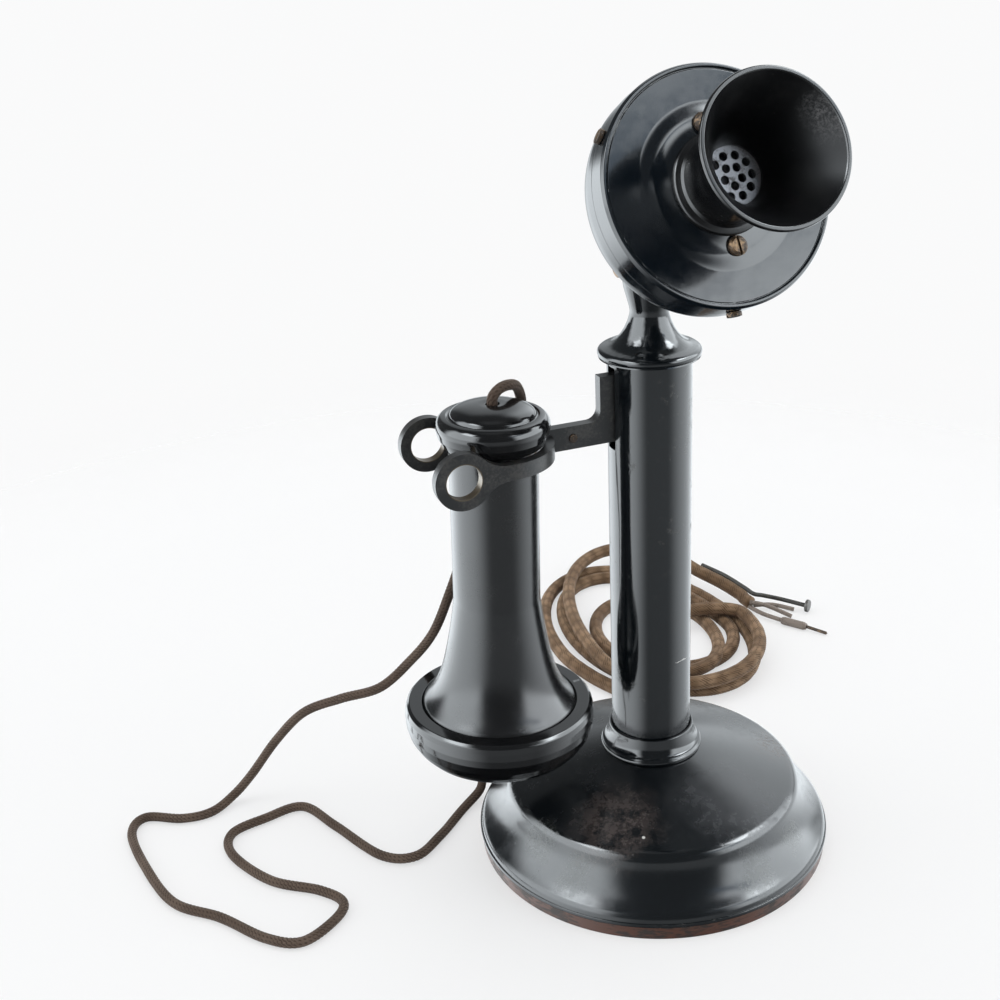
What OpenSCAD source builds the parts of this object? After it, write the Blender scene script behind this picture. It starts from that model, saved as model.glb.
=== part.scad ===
/* [Base] */
// Radius of the base at its lip
base_r = 68.5; // [64:0.5:74]
// Thickness of the base's spun wall
base_wall = 2; // [1.4:0.1:2.3]
// Height of the lip above the ring
lip_h = 1.5; // [1:0.1:3]
// How far the lip stands out past the skirt
lip_step = 0.5; // [0.2:0.1:1]
// Radius of the skirt's rounded bulge
bulge_rad = 4.4; // [3.6:0.1:5.2]
// Height in degrees at which the bulge passes into the cove
bulge_turn = 52; // [48:1:56]
// Radius of the hollow cove above the bulge
cove_rad = 26; // [24:0.5:28]
// Height in degrees at which the cove passes into the shoulder
cove_turn = 14; // [11:1:17]
// Radius of the shoulder's edge
shoulder_rad = 5.4; // [4.4:0.1:6.4]
// Height of the base's flat top over the table
base_top_z = 40.5; // [39.5:0.5:43]
// Radius of the flat seat under the stem
seat_r = 19.6; // [19:0.1:22]
// Height of the fibre ring under the lip
ring_h = 5.5; // [4.6:0.1:7]
// Width of the ring's inner flange
ring_flange_w = 5; // [3:0.5:7]
// Wall of the ring outside the bottom plate
ring_wall = 4.9; // [3.5:0.1:6]
// Thickness of the felt pad
felt_t = 3; // [2:0.1:3.5]
// Thickness of the bottom plate
plate_t = 1.6; // [1:0.1:2]
// Radius of the circle that the bottom screws stand on
lug_circle_r = 45; // [38:0.5:47]
// Radius of each screw lug inside the base
lug_r = 5; // [4.2:0.1:6]
// Radius of a bottom screw's shank
bottom_screw_r = 2; // [1.5:0.1:2.5]
// Length of a bottom screw
bottom_screw_len = 12; // [8:0.5:15]

/* [Stem] */
// Outer radius of the stem tube
stem_r = 15; // [14.4:0.1:16]
// Wall of the stem tube
stem_wall = 1.2; // [0.8:0.1:1.6]
// Length of the stem tube
stem_len = 158; // [150:1:175]
// Height of the foot flange
foot_h = 9.8; // [8:0.1:12]
// Radius of the foot flange
foot_r = 19.4; // [18.4:0.1:20]
// Thickness of the foot's floor under the tube
foot_floor = 2; // [1.5:0.1:3]
// Radius of the threaded nipple below the foot
nipple_r = 12; // [10:0.1:12.5]
// Wall of the nipple
nipple_wall = 2; // [1.4:0.1:3]
// Thickness of the nut on the nipple
stem_nut_t = 5; // [4:0.1:6.5]
// Radius of the cap's rim above the tube
collar_r = 18.3; // [17:0.1:20]
// Height of the collar's rounded rim
collar_h = 3.4; // [2.6:0.1:4.5]
// Depth of the collar's socket over the tube
collar_socket = 2; // [1:0.1:2.4]
// Height of the hollow flare from rim to neck
collar_flare_h = 14; // [11:0.5:16]
// Radius of the neck
neck_r = 6.6; // [6:0.1:8]

/* [Transmitter joint] */
// Height of the tilting pivot above the collar's rim
pivot_rise = 33.5; // [31:0.5:38]
// Radius of the ears' round tops
ear_r = 8; // [7:0.1:9]
// Distance from the centre to an ear's outer face
ear_out = 9.5; // [8.5:0.1:11]
// Thickness of the transmitter's lug between the ears
lug_t = 5.9; // [4.5:0.1:7]
// Radius of the pivot screw
tilt_screw_r = 2.5; // [2:0.1:3.2]
// Upward tilt of the transmitter at rest, in degrees
tilt_up = 25.5; // [10:0.25:30]
// Height of the transmitter's axis above the pivot
axis_rise = 10.5; // [9.5:0.1:13]

/* [Transmitter] */
// Distance of the face from the stem's axis, along the transmitter's axis
face_out = 53.5; // [50:0.5:58]
// Radius of the faceplate's flat face
face_r = 37.5; // [36:0.1:41]
// Thickness of the faceplate
face_t = 1.6; // [1.2:0.1:2.2]
// Height of the faceplate's rim
face_rim_h = 8.5; // [7.5:0.1:10]
// Depth of the whole transmitter behind its face
cup_depth = 35; // [31:0.5:40]
// Depth of the cup's straight band behind the faceplate
cup_band_h = 3.5; // [2:0.1:5]
// Wall of the cup
cup_wall = 1.6; // [1.2:0.1:2.2]
// Radius of a rim screw
rim_screw_r = 1.5; // [1.2:0.1:2]
// Distance of the rim screws behind the face
rim_screw_back = 5.6; // [5:0.1:6.4]
// Radius of the circle of the face screws
face_screw_circle = 19.3; // [18.5:0.1:22]
// Turn of the face screws round the face, in degrees
face_turn = 5; // [0:1:10]
// Radius of the diaphragm
diaphragm_r = 31; // [28:0.5:33]
// Radius of the carbon button
button_r = 11; // [8:0.5:13]

/* [Mouthpiece] */
// Length of the mouthpiece
horn_len = 36.5; // [33:0.5:42]
// Radius of the mouthpiece at its rim
horn_rim_r = 23.7; // [20.5:0.1:27]
// Width of the rim's lip
horn_lip_w = 1.7; // [1.2:0.1:2.4]
// Radius of the shank
shank_r = 13.5; // [13:0.1:14.5]
// Radius of the bead at the mouthpiece's foot
horn_bead_r = 16.2; // [15:0.1:17.5]
// Radius of the throat in front of the grille
throat_r = 9.2; // [8.4:0.1:9.8]
// Height of the threaded collar on the faceplate
thread_h = 7.7; // [6.5:0.1:9]
// Outer radius of the threaded collar
thread_r = 11.8; // [11:0.1:12.2]
// Thickness of the perforated grille
grille_t = 1.2; // [0.8:0.1:2]
// Radius of a grille hole
grille_hole_r = 1.3; // [0.8:0.05:1.5]

/* [Hook] */
// Thickness of the hook's lever
lever_t = 4; // [3:0.1:4.5]
// Distance from the stem's axis to the receiver
receiver_x = -59.3; // [-62:0.1:-56]
// Half the gap between the prongs
fork_gap = 17.4; // [17:0.1:17.9]
// Thickness of the prongs
prong_t = 3.6; // [3:0.1:4.5]
// Height of the prongs
prong_h = 5.5; // [4:0.1:7]
// Radius of the rings that end the prongs
ring_end_r = 10; // [9:0.1:11]
// Radius of the hole in each end ring
ring_hole_r = 6.2; // [4.5:0.1:7]
// Distance from the receiver's axis to the end rings' centres
ring_end_x = 18; // [17.5:0.1:22]
// Radius of the hook's pivot pin
hook_pin_r = 2; // [1.5:0.1:2.5]
// Height of the hook's arm
arm_h = 8.5; // [7:0.1:10]

/* [Receiver] */
// Lean of the hanging receiver, in degrees
hang_tilt = 1.5; // [0:0.01:2]
// Radius of the receiver's handle
handle_r = 15.6; // [15:0.1:16.4]
// Length of the handle from the top cap to the ear cap
handle_len = 98.2; // [90:0.1:108]
// Wall of the handle
handle_wall = 2; // [1.5:0.1:2.6]
// Length of the flare above the ear cap
flare_h = 42.2; // [34:0.1:50]
// Widest radius of the top cap
cap_r = 19.8; // [19:0.1:20.8]
// Height of the top cap to its shoulder
cap_h = 12.5; // [11.5:0.1:14]
// Rise of the dome on the top cap
cap_dome = 4; // [3:0.1:6]
// Widest radius of the ear cap
earcap_r = 34.8; // [33:0.1:37]
// Height of the ear cap
earcap_h = 20.2; // [19:0.1:24]
// Radius of the seam where the handle enters the ear cap
seam_r = 28.4; // [27:0.1:29.4]
// Depth of the dished ear side
dish_depth = 6; // [5:0.1:6.8]
// Radius of the sound hole
sound_hole_r = 5.5; // [3:0.1:7]

/* [Cords] */
// Radius of the receiver cord
receiver_cord_r = 1.9; // [1.5:0.1:2]
// Radius of the desk cord
desk_cord_r = 3.25; // [2.5:0.05:3.6]
// Radius of a bare conductor
conductor_r = 1.1; // [0.8:0.05:1.2]
// Height of the cords' holes above the table
bushing_z = 14; // [13.8:0.1:15]
// Direction of the receiver cord's hole, in degrees
receiver_cord_az = 138; // [135:1:141]
// Direction of the desk cord's hole, in degrees
desk_cord_az = 62; // [58:1:66]

/* [Fits] */
// Radial clearance of a running fit
run_gap = 0.05; // [0.02:0.01:0.1]
// Gap between pieces that are seated in each other
seat_gap = 0.1; // [0.05:0.01:0.2]
// Gap between neighbours that move past each other
pass_gap = 0.3; // [0.2:0.05:0.5]

/* [Hidden] */
$fn = 64;

// Levels and radii of the base
skirt_r = base_r - lip_step;
lip_z = ring_h + lip_h;
bulge_c = [skirt_r - bulge_rad, lip_z];
cove_c = bulge_c + (bulge_rad + cove_rad) * [cos(bulge_turn), sin(bulge_turn)];
shoulder_c = cove_c - (cove_rad + shoulder_rad) * [cos(cove_turn), sin(cove_turn)];
dome_run = [shoulder_c[0] - seat_r, base_top_z - shoulder_c[1]];
dome_slope = atan2(dome_run[1], dome_run[0]) - asin(shoulder_rad / norm(dome_run));
plateau_r = shoulder_c[0] + shoulder_rad;
plate_r = base_r - ring_wall - 0.8;
plate_top_z = felt_t + plate_t;

// Levels of the stem
tube_z = base_top_z + foot_floor;
tube_top_z = tube_z + stem_len;
collar_z = tube_top_z - collar_socket;
neck_z = collar_z + collar_h + collar_flare_h;
pivot_z = collar_z + pivot_rise;
slot_floor_z = pivot_z - ear_r - 3;
tube_in_r = stem_r - stem_wall;
bushing_face_r = skirt_r - 1.5;
bushing_inner_r = plateau_r - 4;
bushing_step_r = plateau_r + 5;

// The hook, from the collar down
hook_pin_z = collar_z - 11.5;
hook_pin_x = -4;
prong_z = hook_pin_z - 17;
arm_z = prong_z - 0.8;
rest_z = prong_z + prong_h;
ring_end_z = prong_z + 2.3;
neck_fillet = 12;
slot_top_z = collar_z - 2.2;
slot_low_z = arm_z - 3.2;
slot_w = lever_t + 1.2;
upright_x = -20;
upright_top_z = hook_pin_z + 6.8;
finger_z = prong_z - 5;
stud_z = finger_z + 5;
stud_r = 1.6;
rivet_x = -30.5;
rivet_r = 1.6;
rivet_z = arm_z + 4;

// The contact springs under the lever's finger
finger_x = 0.4;
finger_w = 3.8;
stud_len = 1.5;
leaf_t = 0.4;
leaf_w = 6;
// Radius of the bead rolled along the moving leaf's foot
bead_r = 0.5;
moving_x = finger_x + stud_len + pass_gap;
fixed_low_x = moving_x - 3.25;
fixed_high_x = moving_x + 2;
disc_top_z = prong_z - 57;
disc_t = 7;
stack_h = 10;
moving_z = disc_top_z + stack_h + pass_gap;
stack_screw_r = 0.9;
bracket_y = 5;
bracket_t = 1.5;

// The transmitter, along its own axis
axis_z = pivot_z + axis_rise;
rim_r = face_r + 0.5;
cup_r = rim_r - 0.2;
cup_front = face_out - face_rim_h - 0.2;
cup_neck_r = rim_r - face_t - seat_gap;
cup_back = face_out - cup_depth;
bowl_h = cup_front - cup_band_h - cup_back;
lug_y = -axis_rise * cos(tilt_up);
lug_z = -axis_rise * sin(tilt_up);
pad_r = 10;
pad_back = cup_back - 5;
rim_screw_z = face_out - rim_screw_back;
diaphragm_z = face_out - face_t - 1.4;
diaphragm_t = 0.5;
button_h = 7;
button_z = diaphragm_z - 1 - button_h;
bridge_t = 3;
bridge_z = button_z - bridge_t - seat_gap;
horn_foot = 0.3;
grille_z = face_out + thread_h + seat_gap;
grille_r = throat_r + 1.2;
throat_z = grille_z + grille_t + seat_gap - face_out;
face_bore_r = throat_r;

// The receiver, measured from its rest on the prongs
cap_low = -1.5;
seam_z = cap_low - handle_len;
ear_low = seam_z - earcap_h;
spigot_r = 14;
spigot_h = 7;
ledge_z = seam_z - 9;
shell_end = ledge_z + 0.5;
capsule_r = seam_r - handle_wall;
cord_hole_r = receiver_cord_r + 0.5;
cord_start_z = rest_z + 12.5;

// Route of the receiver cord, from the top cap to the base
RECEIVER_ROUTE = [[-59, 0, 188], [-58.6, 0.5, 192], [-55.5, 2, 194.2], [-50.7, 5, 194], [-46, 10, 190.8],
    [-42.5, 16, 182.5], [-42.3, 21.5, 173], [-46, 26, 158], [-54, 30, 140], [-62, 30.5, 123], [-69, 30, 107],
    [-75, 36, 88], [-83.5, 42.5, 74], [-94.5, 50, 61], [-108.5, 60, 54], [-122, 70, 45.5], [-133, 79, 30],
    [-144, 84.5, 13], [-152.5, 86, 4], [-163, 80.5, 2.1], [-175, 81, 2], [-189, 88, 2], [-196, 79, 2],
    [-194, 55, 2], [-187, 28, 2], [-172, 12, 2], [-159, -6, 2], [-147, -13.5, 2], [-133, -6.5, 2],
    [-127.5, 2, 2], [-134, 12.5, 2], [-150, 26, 2], [-160.5, 48, 2], [-158, 62, 2], [-143, 67, 2],
    [-127, 68.5, 2], [-118, 50, 2], [-106.5, 24, 2], [-94, 17.5, 2], [-81, 26, 2], [-67, 39, 2],
    [-57, 46, 4], [-54.6, 47.5, 8.6]];
// Route of the desk cord from the base to its coil, and of its tail
LEAD_ROUTE = [[34.5, 65, 12], [37, 73, 6.5], [37, 80, 3.8], [35.8, 85, 3.4]];
TAIL_ROUTE = [[126, 153, 6], [126.2, 148.5, 5.5], [127, 144, 5]];
// Routes of the bare conductors and their tips
CONDUCTOR_ROUTES = [[[128.8, 142.9, 6.2], [136, 145, 6], [144, 141, 4.5], [152, 131.5, 3.7]],
    [[128.7, 143.1, 3.5], [138, 140.6, 3], [147, 134, 1.3]],
    [[125.9, 142.6, 6.2], [133, 137.6, 5], [142, 128, 1.3]],
    [[125.8, 142.7, 3.6], [129, 134.8, 2.6], [134.3, 125.5, 2.2]]];
TIP_HEAD = [[152.3, 131.2, 3.7], [153.3, 129.9, 3.7]];
TIP_FERRULE = [[134.5, 125.1, 2.2], [142, 114, 2.2]];
TIP_PIN_END = [148.5, 105, 1.2];
tip_head_r = 3.2;
ferrule_r = 2;
pin_tip_r = 0.8;
coil_r = 49;
coil_band_w = 25;
coil_h = 14;
coil_centres = [[66, 127], [77.4, 178]];

japan = [0.06, 0.065, 0.075];
ebonite = [0.08, 0.08, 0.085];
brass = [0.66, 0.52, 0.28];
steel = [0.55, 0.55, 0.56];
braid = [0.33, 0.24, 0.17];
fibre = [0.35, 0.16, 0.1];

// Points on an arc about c, from angle a to angle b
function arc(c, r, a, b, n = 6) =
    [for (i = [0:n]) c + r * [cos(a + (b - a) * i / n), sin(a + (b - a) * i / n)]];
// Points on a hollow flare that starts level at p and ends upright at q
function flare(p, q, n = 8, power = 0.85) =
    [for (i = [0:n]) [q.x + (p.x - q.x) * pow(max(0, 1 - sin(90 * i / n)), power),
        p.y + (q.y - p.y) * (1 - cos(90 * i / n))]];
function reversed(list) = [for (i = [len(list) - 1:-1:0]) list[i]];
function unit(v) = v / norm(v);

// A point at t between b and c on a smooth curve through a, b, c and d
function smooth(a, b, c, d, t) =
    0.5 * (2 * b + (c - a) * t + (2 * a - 5 * b + 4 * c - d) * t * t
        + (3 * b - a - 3 * c + d) * t * t * t);
// The route with one more point between each two of its own
function refined(p) = concat([for (i = [0:len(p) - 2]) for (t = [0, 0.5])
    smooth(p[max(i - 1, 0)], p[i], p[i + 1], p[min(i + 2, len(p) - 1)], t)], [p[len(p) - 1]]);
function tangents(p) =
    [for (i = [0:len(p) - 1]) unit(p[min(i + 1, len(p) - 1)] - p[max(i - 1, 0)])];
function carried(n, t) = unit(n - (n * t) * t);
// One normal for each ring, carried along the route without twisting
function normals(t) = [for (i = 0, n = carried([0.2, 1, 0.3], t[0]); i < len(t);
    i = i + 1, n = i < len(t) ? carried(n, t[i]) : n) n];

// A tube of radius r along a route of points
module tube(p, r, sides = 8) {
    t = tangents(p);
    n = normals(t);
    rings = len(p);
    points = [for (i = [0:rings - 1]) for (k = [0:sides - 1])
        p[i] + r * (cos(360 * k / sides) * n[i] + sin(360 * k / sides) * cross(t[i], n[i]))];
    walls = [for (i = [0:rings - 2]) for (k = [0:sides - 1])
        [i * sides + k, (i + 1) * sides + k, (i + 1) * sides + (k + 1) % sides,
            i * sides + (k + 1) % sides]];
    near_end = [[for (k = [0:sides - 1]) k]];
    far_end = [[for (k = [sides - 1:-1:0]) (rings - 1) * sides + k]];
    polyhedron(points, concat(walls, near_end, far_end), convexity = 10);
}
// A straight round bar from point a to point b
module bar(a, b, r) {
    d = b - a;
    translate(a) rotate([0, acos(d.z / norm(d)), atan2(d.y, d.x)]) cylinder(r = r, h = norm(d));
}
// Cylinders that run along X or Y, from their lower to their higher end
module along_x(r, from, to) translate([from, 0, 0]) rotate([0, 90, 0]) cylinder(r = r, h = to - from);
module along_y(r, from, to) translate([0, from, 0]) rotate([-90, 0, 0]) cylinder(r = r, h = to - from);
module box(low, high) translate(low) cube(high - low);

// Places for the parts that lean
module at_transmitter() translate([0, 0, axis_z]) rotate([90 - tilt_up, 0, 0]) children();
module at_receiver() translate([receiver_x, 0, rest_z]) rotate([0, hang_tilt, 0]) children();
module at_hook_pin() translate([hook_pin_x, 0, hook_pin_z]) children();
module at_lugs() for (a = [30, 150, 270]) rotate(a) translate([lug_circle_r, 0, 0]) children();
module at_bushing(az) rotate(az) translate([0, 0, bushing_z]) children();

// The base ---------------------------------------------------------------------------------

// Outline of the base's outside, or of its inside when w is the wall
function base_outline(w) = concat(
    w > 0 ? [[skirt_r - w, ring_h]] : [[base_r, ring_h], [base_r, lip_z]],
    arc(bulge_c, bulge_rad - w, 0, bulge_turn),
    arc(cove_c, cove_rad + w, 180 + bulge_turn, 180 + cove_turn),
    arc(shoulder_c, shoulder_rad - w, cove_turn, 90 - dome_slope),
    [[seat_r, base_top_z - w], [0, base_top_z - w]]);

module base_shell() color(japan) difference() {
    union() {
        rotate_extrude($fn = 128) polygon(concat(base_outline(0), reversed(base_outline(base_wall))));
        intersection() {
            at_lugs() translate([0, 0, plate_top_z]) cylinder(r = lug_r, h = base_top_z, $fn = 32);
            rotate_extrude($fn = 128)
                polygon(concat([[skirt_r, 0]], base_outline(base_wall / 2), [[0, 0]]));
        }
    }
    translate([0, 0, base_top_z - base_wall - 1]) cylinder(r = nipple_r + seat_gap, h = base_wall + 2);
    at_lugs() translate([0, 0, plate_top_z - 1])
        cylinder(r = bottom_screw_r + run_gap, h = bottom_screw_len + 2, $fn = 32);
    at_bushing(receiver_cord_az) bushing_cut(receiver_cord_r);
    at_bushing(desk_cord_az) bushing_cut(desk_cord_r);
}
module base_ring() color(fibre) rotate_extrude($fn = 128) polygon([
    [plate_r - ring_flange_w, 0], [base_r - 0.8, 0], [base_r - 0.6, 0.4], [base_r - 0.6, ring_h],
    [plate_r + seat_gap, ring_h], [plate_r + seat_gap, felt_t], [plate_r - ring_flange_w, felt_t]]);
module felt_pad() color([0.2, 0.17, 0.15])
    cylinder(r = plate_r - ring_flange_w - pass_gap, h = felt_t, $fn = 96);
module bottom_plate() color(steel) difference() {
    translate([0, 0, felt_t]) cylinder(r = plate_r, h = plate_t, $fn = 96);
    at_lugs() bottom_screw_shape(run_gap);
}
// A countersunk screw from below, grown by a gap
module bottom_screw_shape(gap) {
    head_r = bottom_screw_r + plate_t - 0.2;
    translate([0, 0, felt_t]) cylinder(r1 = head_r + gap, r2 = bottom_screw_r + gap, h = plate_t - 0.2,
        $fn = 32);
    translate([0, 0, felt_t]) cylinder(r = bottom_screw_r + gap, h = bottom_screw_len, $fn = 32);
}
module bottom_screws() color(brass) at_lugs() difference() {
    bottom_screw_shape(0);
    translate([-bottom_screw_r, -0.3, felt_t - 1]) cube([2 * bottom_screw_r, 0.6, 1.6]);
}
block_low = [-24, 8, plate_top_z];
block_high = [16, 24, plate_top_z + 8];
terminal_xs = [for (i = [0:3]) block_low.x + 5 + 10 * i];
terminal_y = (block_low.y + block_high.y) / 2;
terminal_hole_r = 1.5;
module terminal_block() color(fibre) difference() {
    box(block_low, block_high);
    for (x = terminal_xs) translate([x, terminal_y, block_low.z + 2])
        cylinder(r = terminal_hole_r + run_gap, h = 8, $fn = 24);
}
module terminal_screws() color(brass) for (x = terminal_xs) translate([x, terminal_y, block_high.z])
    difference() {
        union() {
            translate([0, 0, -5]) cylinder(r = terminal_hole_r, h = 5.5, $fn = 24);
            cylinder(r = 3, h = 2, $fn = 24);
        }
        translate([-4, -0.4, 1.2]) cube([8, 0.8, 1]);
    }
// The rubber bushings: a body in the wall with a head outside
module bushing_shape(cord_r, gap, reach) {
    along_x(cord_r + 1.3 + gap, bushing_inner_r, bushing_step_r + 0.1);
    along_x(cord_r + 2.3 + gap, bushing_step_r - gap, bushing_face_r + reach);
}
module bushing_cut(cord_r) bushing_shape(cord_r, seat_gap, 6);
module bushing(az, cord_r) at_bushing(az) difference() {
    bushing_shape(cord_r, 0, 0);
    along_x(cord_r, bushing_inner_r - 1, bushing_face_r - 2);
}
module receiver_cord_bushing() color(ebonite) bushing(receiver_cord_az, receiver_cord_r);
module desk_cord_bushing() color(ebonite) bushing(desk_cord_az, desk_cord_r);

// The stem ---------------------------------------------------------------------------------

module stem_foot() color(japan) difference() {
    translate([0, 0, base_top_z]) rotate_extrude($fn = 96) polygon(concat(
        [[nipple_r, -base_wall - stem_nut_t - 1], [nipple_r, 0], [foot_r - 1, 0]],
        arc([foot_r - 1.2, 1.4], 1.2, -60, 60),
        flare([foot_r - 0.6, 3], [stem_r + 1.1, foot_h]),
        [[stem_r + seat_gap, foot_h], [stem_r + seat_gap, foot_floor],
            [nipple_r - nipple_wall, foot_floor], [nipple_r - nipple_wall, -base_wall - stem_nut_t - 1]]));
}
module stem_nut() color(brass) translate([0, 0, base_top_z - base_wall - stem_nut_t]) difference() {
    cylinder(r = nipple_r + 5, h = stem_nut_t, $fn = 6);
    translate([0, 0, -1]) cylinder(r = nipple_r + run_gap, h = stem_nut_t + 2);
}
module stem_tube() color(japan) difference() {
    translate([0, 0, tube_z]) cylinder(r = stem_r, h = stem_len, $fn = 96);
    translate([0, 0, tube_z - 1]) cylinder(r = tube_in_r, h = stem_len + 2, $fn = 96);
    box([-stem_r - 1, -slot_w / 2, slot_low_z], [-tube_in_r / 2, slot_w / 2, slot_top_z]);
    translate([0, 0, disc_top_z - disc_t / 2]) along_y(bracket_screw_r + run_gap, tube_in_r / 2, stem_r + 1);
}
module stem_cap() color(japan) difference() {
    union() {
        translate([0, 0, collar_z]) rotate_extrude($fn = 96) polygon(concat(
            [[0, 0], [collar_r - 0.3, 0]], arc([collar_r - 1.6, 1.6], 1.6, -50, 60),
            flare([collar_r - 1.6, collar_h], [neck_r, collar_h + collar_flare_h]),
            [[neck_r, pivot_rise - ear_r - 10], [0, pivot_rise - ear_r - 10]]));
        intersection() {
            translate([0, 0, collar_z]) rotate_extrude($fn = 96) polygon([
                [0, pivot_rise - ear_r - 11], [neck_r, pivot_rise - ear_r - 11],
                [neck_r + 0.4, pivot_rise - ear_r - 8], [ear_out - 0.6, pivot_rise - ear_r - 1],
                [ear_out, pivot_rise - ear_r + 3], [ear_out, pivot_rise + ear_r + 1],
                [0, pivot_rise + ear_r + 1]]);
            union() {
                translate([0, 0, pivot_z]) along_x(ear_r, -ear_out - 1, ear_out + 1);
                box([-ear_out - 1, -ear_r, collar_z], [ear_out + 1, ear_r, pivot_z]);
            }
        }
    }
    translate([0, 0, collar_z - 1]) cylinder(r = stem_r + seat_gap, h = collar_socket + 1 + seat_gap);
    translate([0, 0, collar_z]) cylinder(r = neck_r - 3, h = slot_floor_z - collar_z + 1);
    box([-lug_t / 2 - run_gap, -ear_r - 1, slot_floor_z], [lug_t / 2 + run_gap, ear_r + 1, pivot_z + ear_r + 1]);
    translate([0, 0, pivot_z]) along_x(tilt_screw_r + run_gap, -ear_out - 1, ear_out + 1);
}
module tilt_screw() color(brass) translate([0, 0, pivot_z]) difference() {
    union() {
        along_x(tilt_screw_r, -ear_out - seat_gap, ear_out + 4);
        along_x(tilt_screw_r + 2, -ear_out - 2.6, -ear_out - seat_gap);
    }
    box([-ear_out - 3, -5, -0.5], [-ear_out - 1.6, 5, 0.5]);
}
module tilt_nut() color(brass) translate([ear_out + seat_gap, 0, pivot_z]) difference() {
    rotate([0, 90, 0]) cylinder(r = tilt_screw_r + 2.6, h = 3.2, $fn = 6);
    along_x(tilt_screw_r + run_gap, -1, 5);
}

// The hook and its switch ------------------------------------------------------------------

bracket_screw_r = 1.6;
bracket_screw_len = 8;
// Width of the bracket's cheeks, how far they rise above the pin, and the hole for the wires
cheek_w = 16;
cheek_over_pin = 6;
wire_hole_r = 2.5;
module switch_bracket() color(brass) difference() {
    union() {
        translate([0, 0, disc_top_z - disc_t]) cylinder(r = tube_in_r - seat_gap, h = disc_t);
        for (s = [-1, 1])
            translate([-cheek_w / 2, s * (bracket_y + bracket_t / 2) - bracket_t / 2, disc_top_z - 1])
                cube([cheek_w, bracket_t, hook_pin_z + cheek_over_pin - disc_top_z + 1]);
    }
    at_hook_pin() along_y(hook_pin_r + run_gap, -bracket_y - 3, bracket_y + 3);
    translate([-cheek_w / 2, 0, disc_top_z - disc_t - 1])
        cylinder(r = wire_hole_r, h = disc_t + 2, $fn = 32);
    translate([0, 0, disc_top_z - disc_t / 2])
        along_y(bracket_screw_r + run_gap, stem_r - bracket_screw_len - 1, stem_r + 1);
}
module bracket_screw() color(brass) translate([0, 0, disc_top_z - disc_t / 2]) {
    along_y(bracket_screw_r, stem_r - bracket_screw_len, stem_r + 0.5);
    along_y(bracket_screw_r + 1.2, stem_r + seat_gap, stem_r + 1.2);
}
module hook_pivot_pin() color(steel) at_hook_pin() {
    along_y(hook_pin_r, -bracket_y - bracket_t - 0.5, bracket_y + bracket_t + 0.5);
    for (s = [-1, 1]) translate([0, s * (bracket_y + bracket_t + seat_gap + 0.4), 0])
        along_y(hook_pin_r + 0.8, -0.4, 0.4);
}
// Side view of the lever: an upright in the slot, an arm, a fillet and a finger
module lever_side() {
    fillet = 4;
    arm_top = arm_z + arm_h;
    translate([upright_x, arm_z]) square([-upright_x - 8, upright_top_z - arm_z]);
    translate([-10, hook_pin_z - 13]) square([10 + finger_x, upright_top_z - hook_pin_z + 13]);
    translate([finger_x - finger_w, finger_z]) square([finger_w, hook_pin_z - 12 - finger_z]);
    translate([receiver_x + fork_gap + prong_t / 2, arm_z])
        square([upright_x - receiver_x - fork_gap + 1, arm_h]);
    difference() {
        translate([upright_x - fillet, arm_top - 1]) square([fillet + 1, fillet + 1]);
        translate([upright_x - fillet, arm_top + fillet]) circle(r = fillet);
    }
}
// Centre of the fillet between an eye's rim and a prong's edge at a height z from the eye's centre
function neck_centre(z) =
    let (low = z + sign(z) * neck_fillet) [sqrt(pow(ring_end_r + neck_fillet, 2) - low * low), low];
// The prong's neck beside an eye, hollowed above and below by the fillets
module prong_neck() {
    centres = [for (z = [prong_z, rest_z]) neck_centre(z - ring_end_z)];
    touch = ring_end_r / (ring_end_r + neck_fillet);
    difference() {
        box([ring_hole_r + 1, fork_gap, touch * centres[0][1]],
            [centres[0][0] - 0.5, fork_gap + prong_t, touch * centres[1][1]]);
        for (c = centres) translate([c[0], 0, c[1]])
            along_y(neck_fillet, fork_gap - 1, fork_gap + prong_t + 1);
    }
}
module hook_lever() color([0.13, 0.13, 0.13]) difference() {
    union() {
        translate([0, lever_t / 2, 0]) rotate([90, 0, 0]) linear_extrude(lever_t) lever_side();
        translate([receiver_x, 0, prong_z]) difference() {
            cylinder(r = fork_gap + prong_t, h = prong_h);
            translate([0, 0, -1]) cylinder(r = fork_gap, h = prong_h + 2);
            box([-fork_gap - prong_t - 1, -fork_gap - prong_t - 1, -1],
                [0, fork_gap + prong_t + 1, prong_h + 1]);
        }
        for (s = [0, 1]) mirror([0, s, 0]) {
            box([receiver_x - ring_end_x + ring_hole_r + 1, fork_gap, prong_z],
                [receiver_x + 0.1, fork_gap + prong_t, rest_z]);
            translate([receiver_x - ring_end_x, 0, ring_end_z]) {
                along_y(ring_end_r, fork_gap, fork_gap + prong_t);
                prong_neck();
            }
        }
    }
    at_hook_pin() along_y(hook_pin_r + run_gap, -lever_t, lever_t);
    translate([rivet_x, 0, rivet_z]) along_y(rivet_r + run_gap, -lever_t, lever_t);
    translate([receiver_x - ring_end_x, 0, ring_end_z])
        along_y(ring_hole_r, -fork_gap - prong_t - 1, fork_gap + prong_t + 1);
}
module hook_rivet() color(brass) translate([rivet_x, 0, rivet_z])
    along_y(rivet_r, -lever_t / 2 - 0.5, lever_t / 2 + 0.5);
module lever_stud() color(fibre) translate([0, 0, stud_z]) along_x(stud_r, finger_x, finger_x + stud_len);
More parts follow.
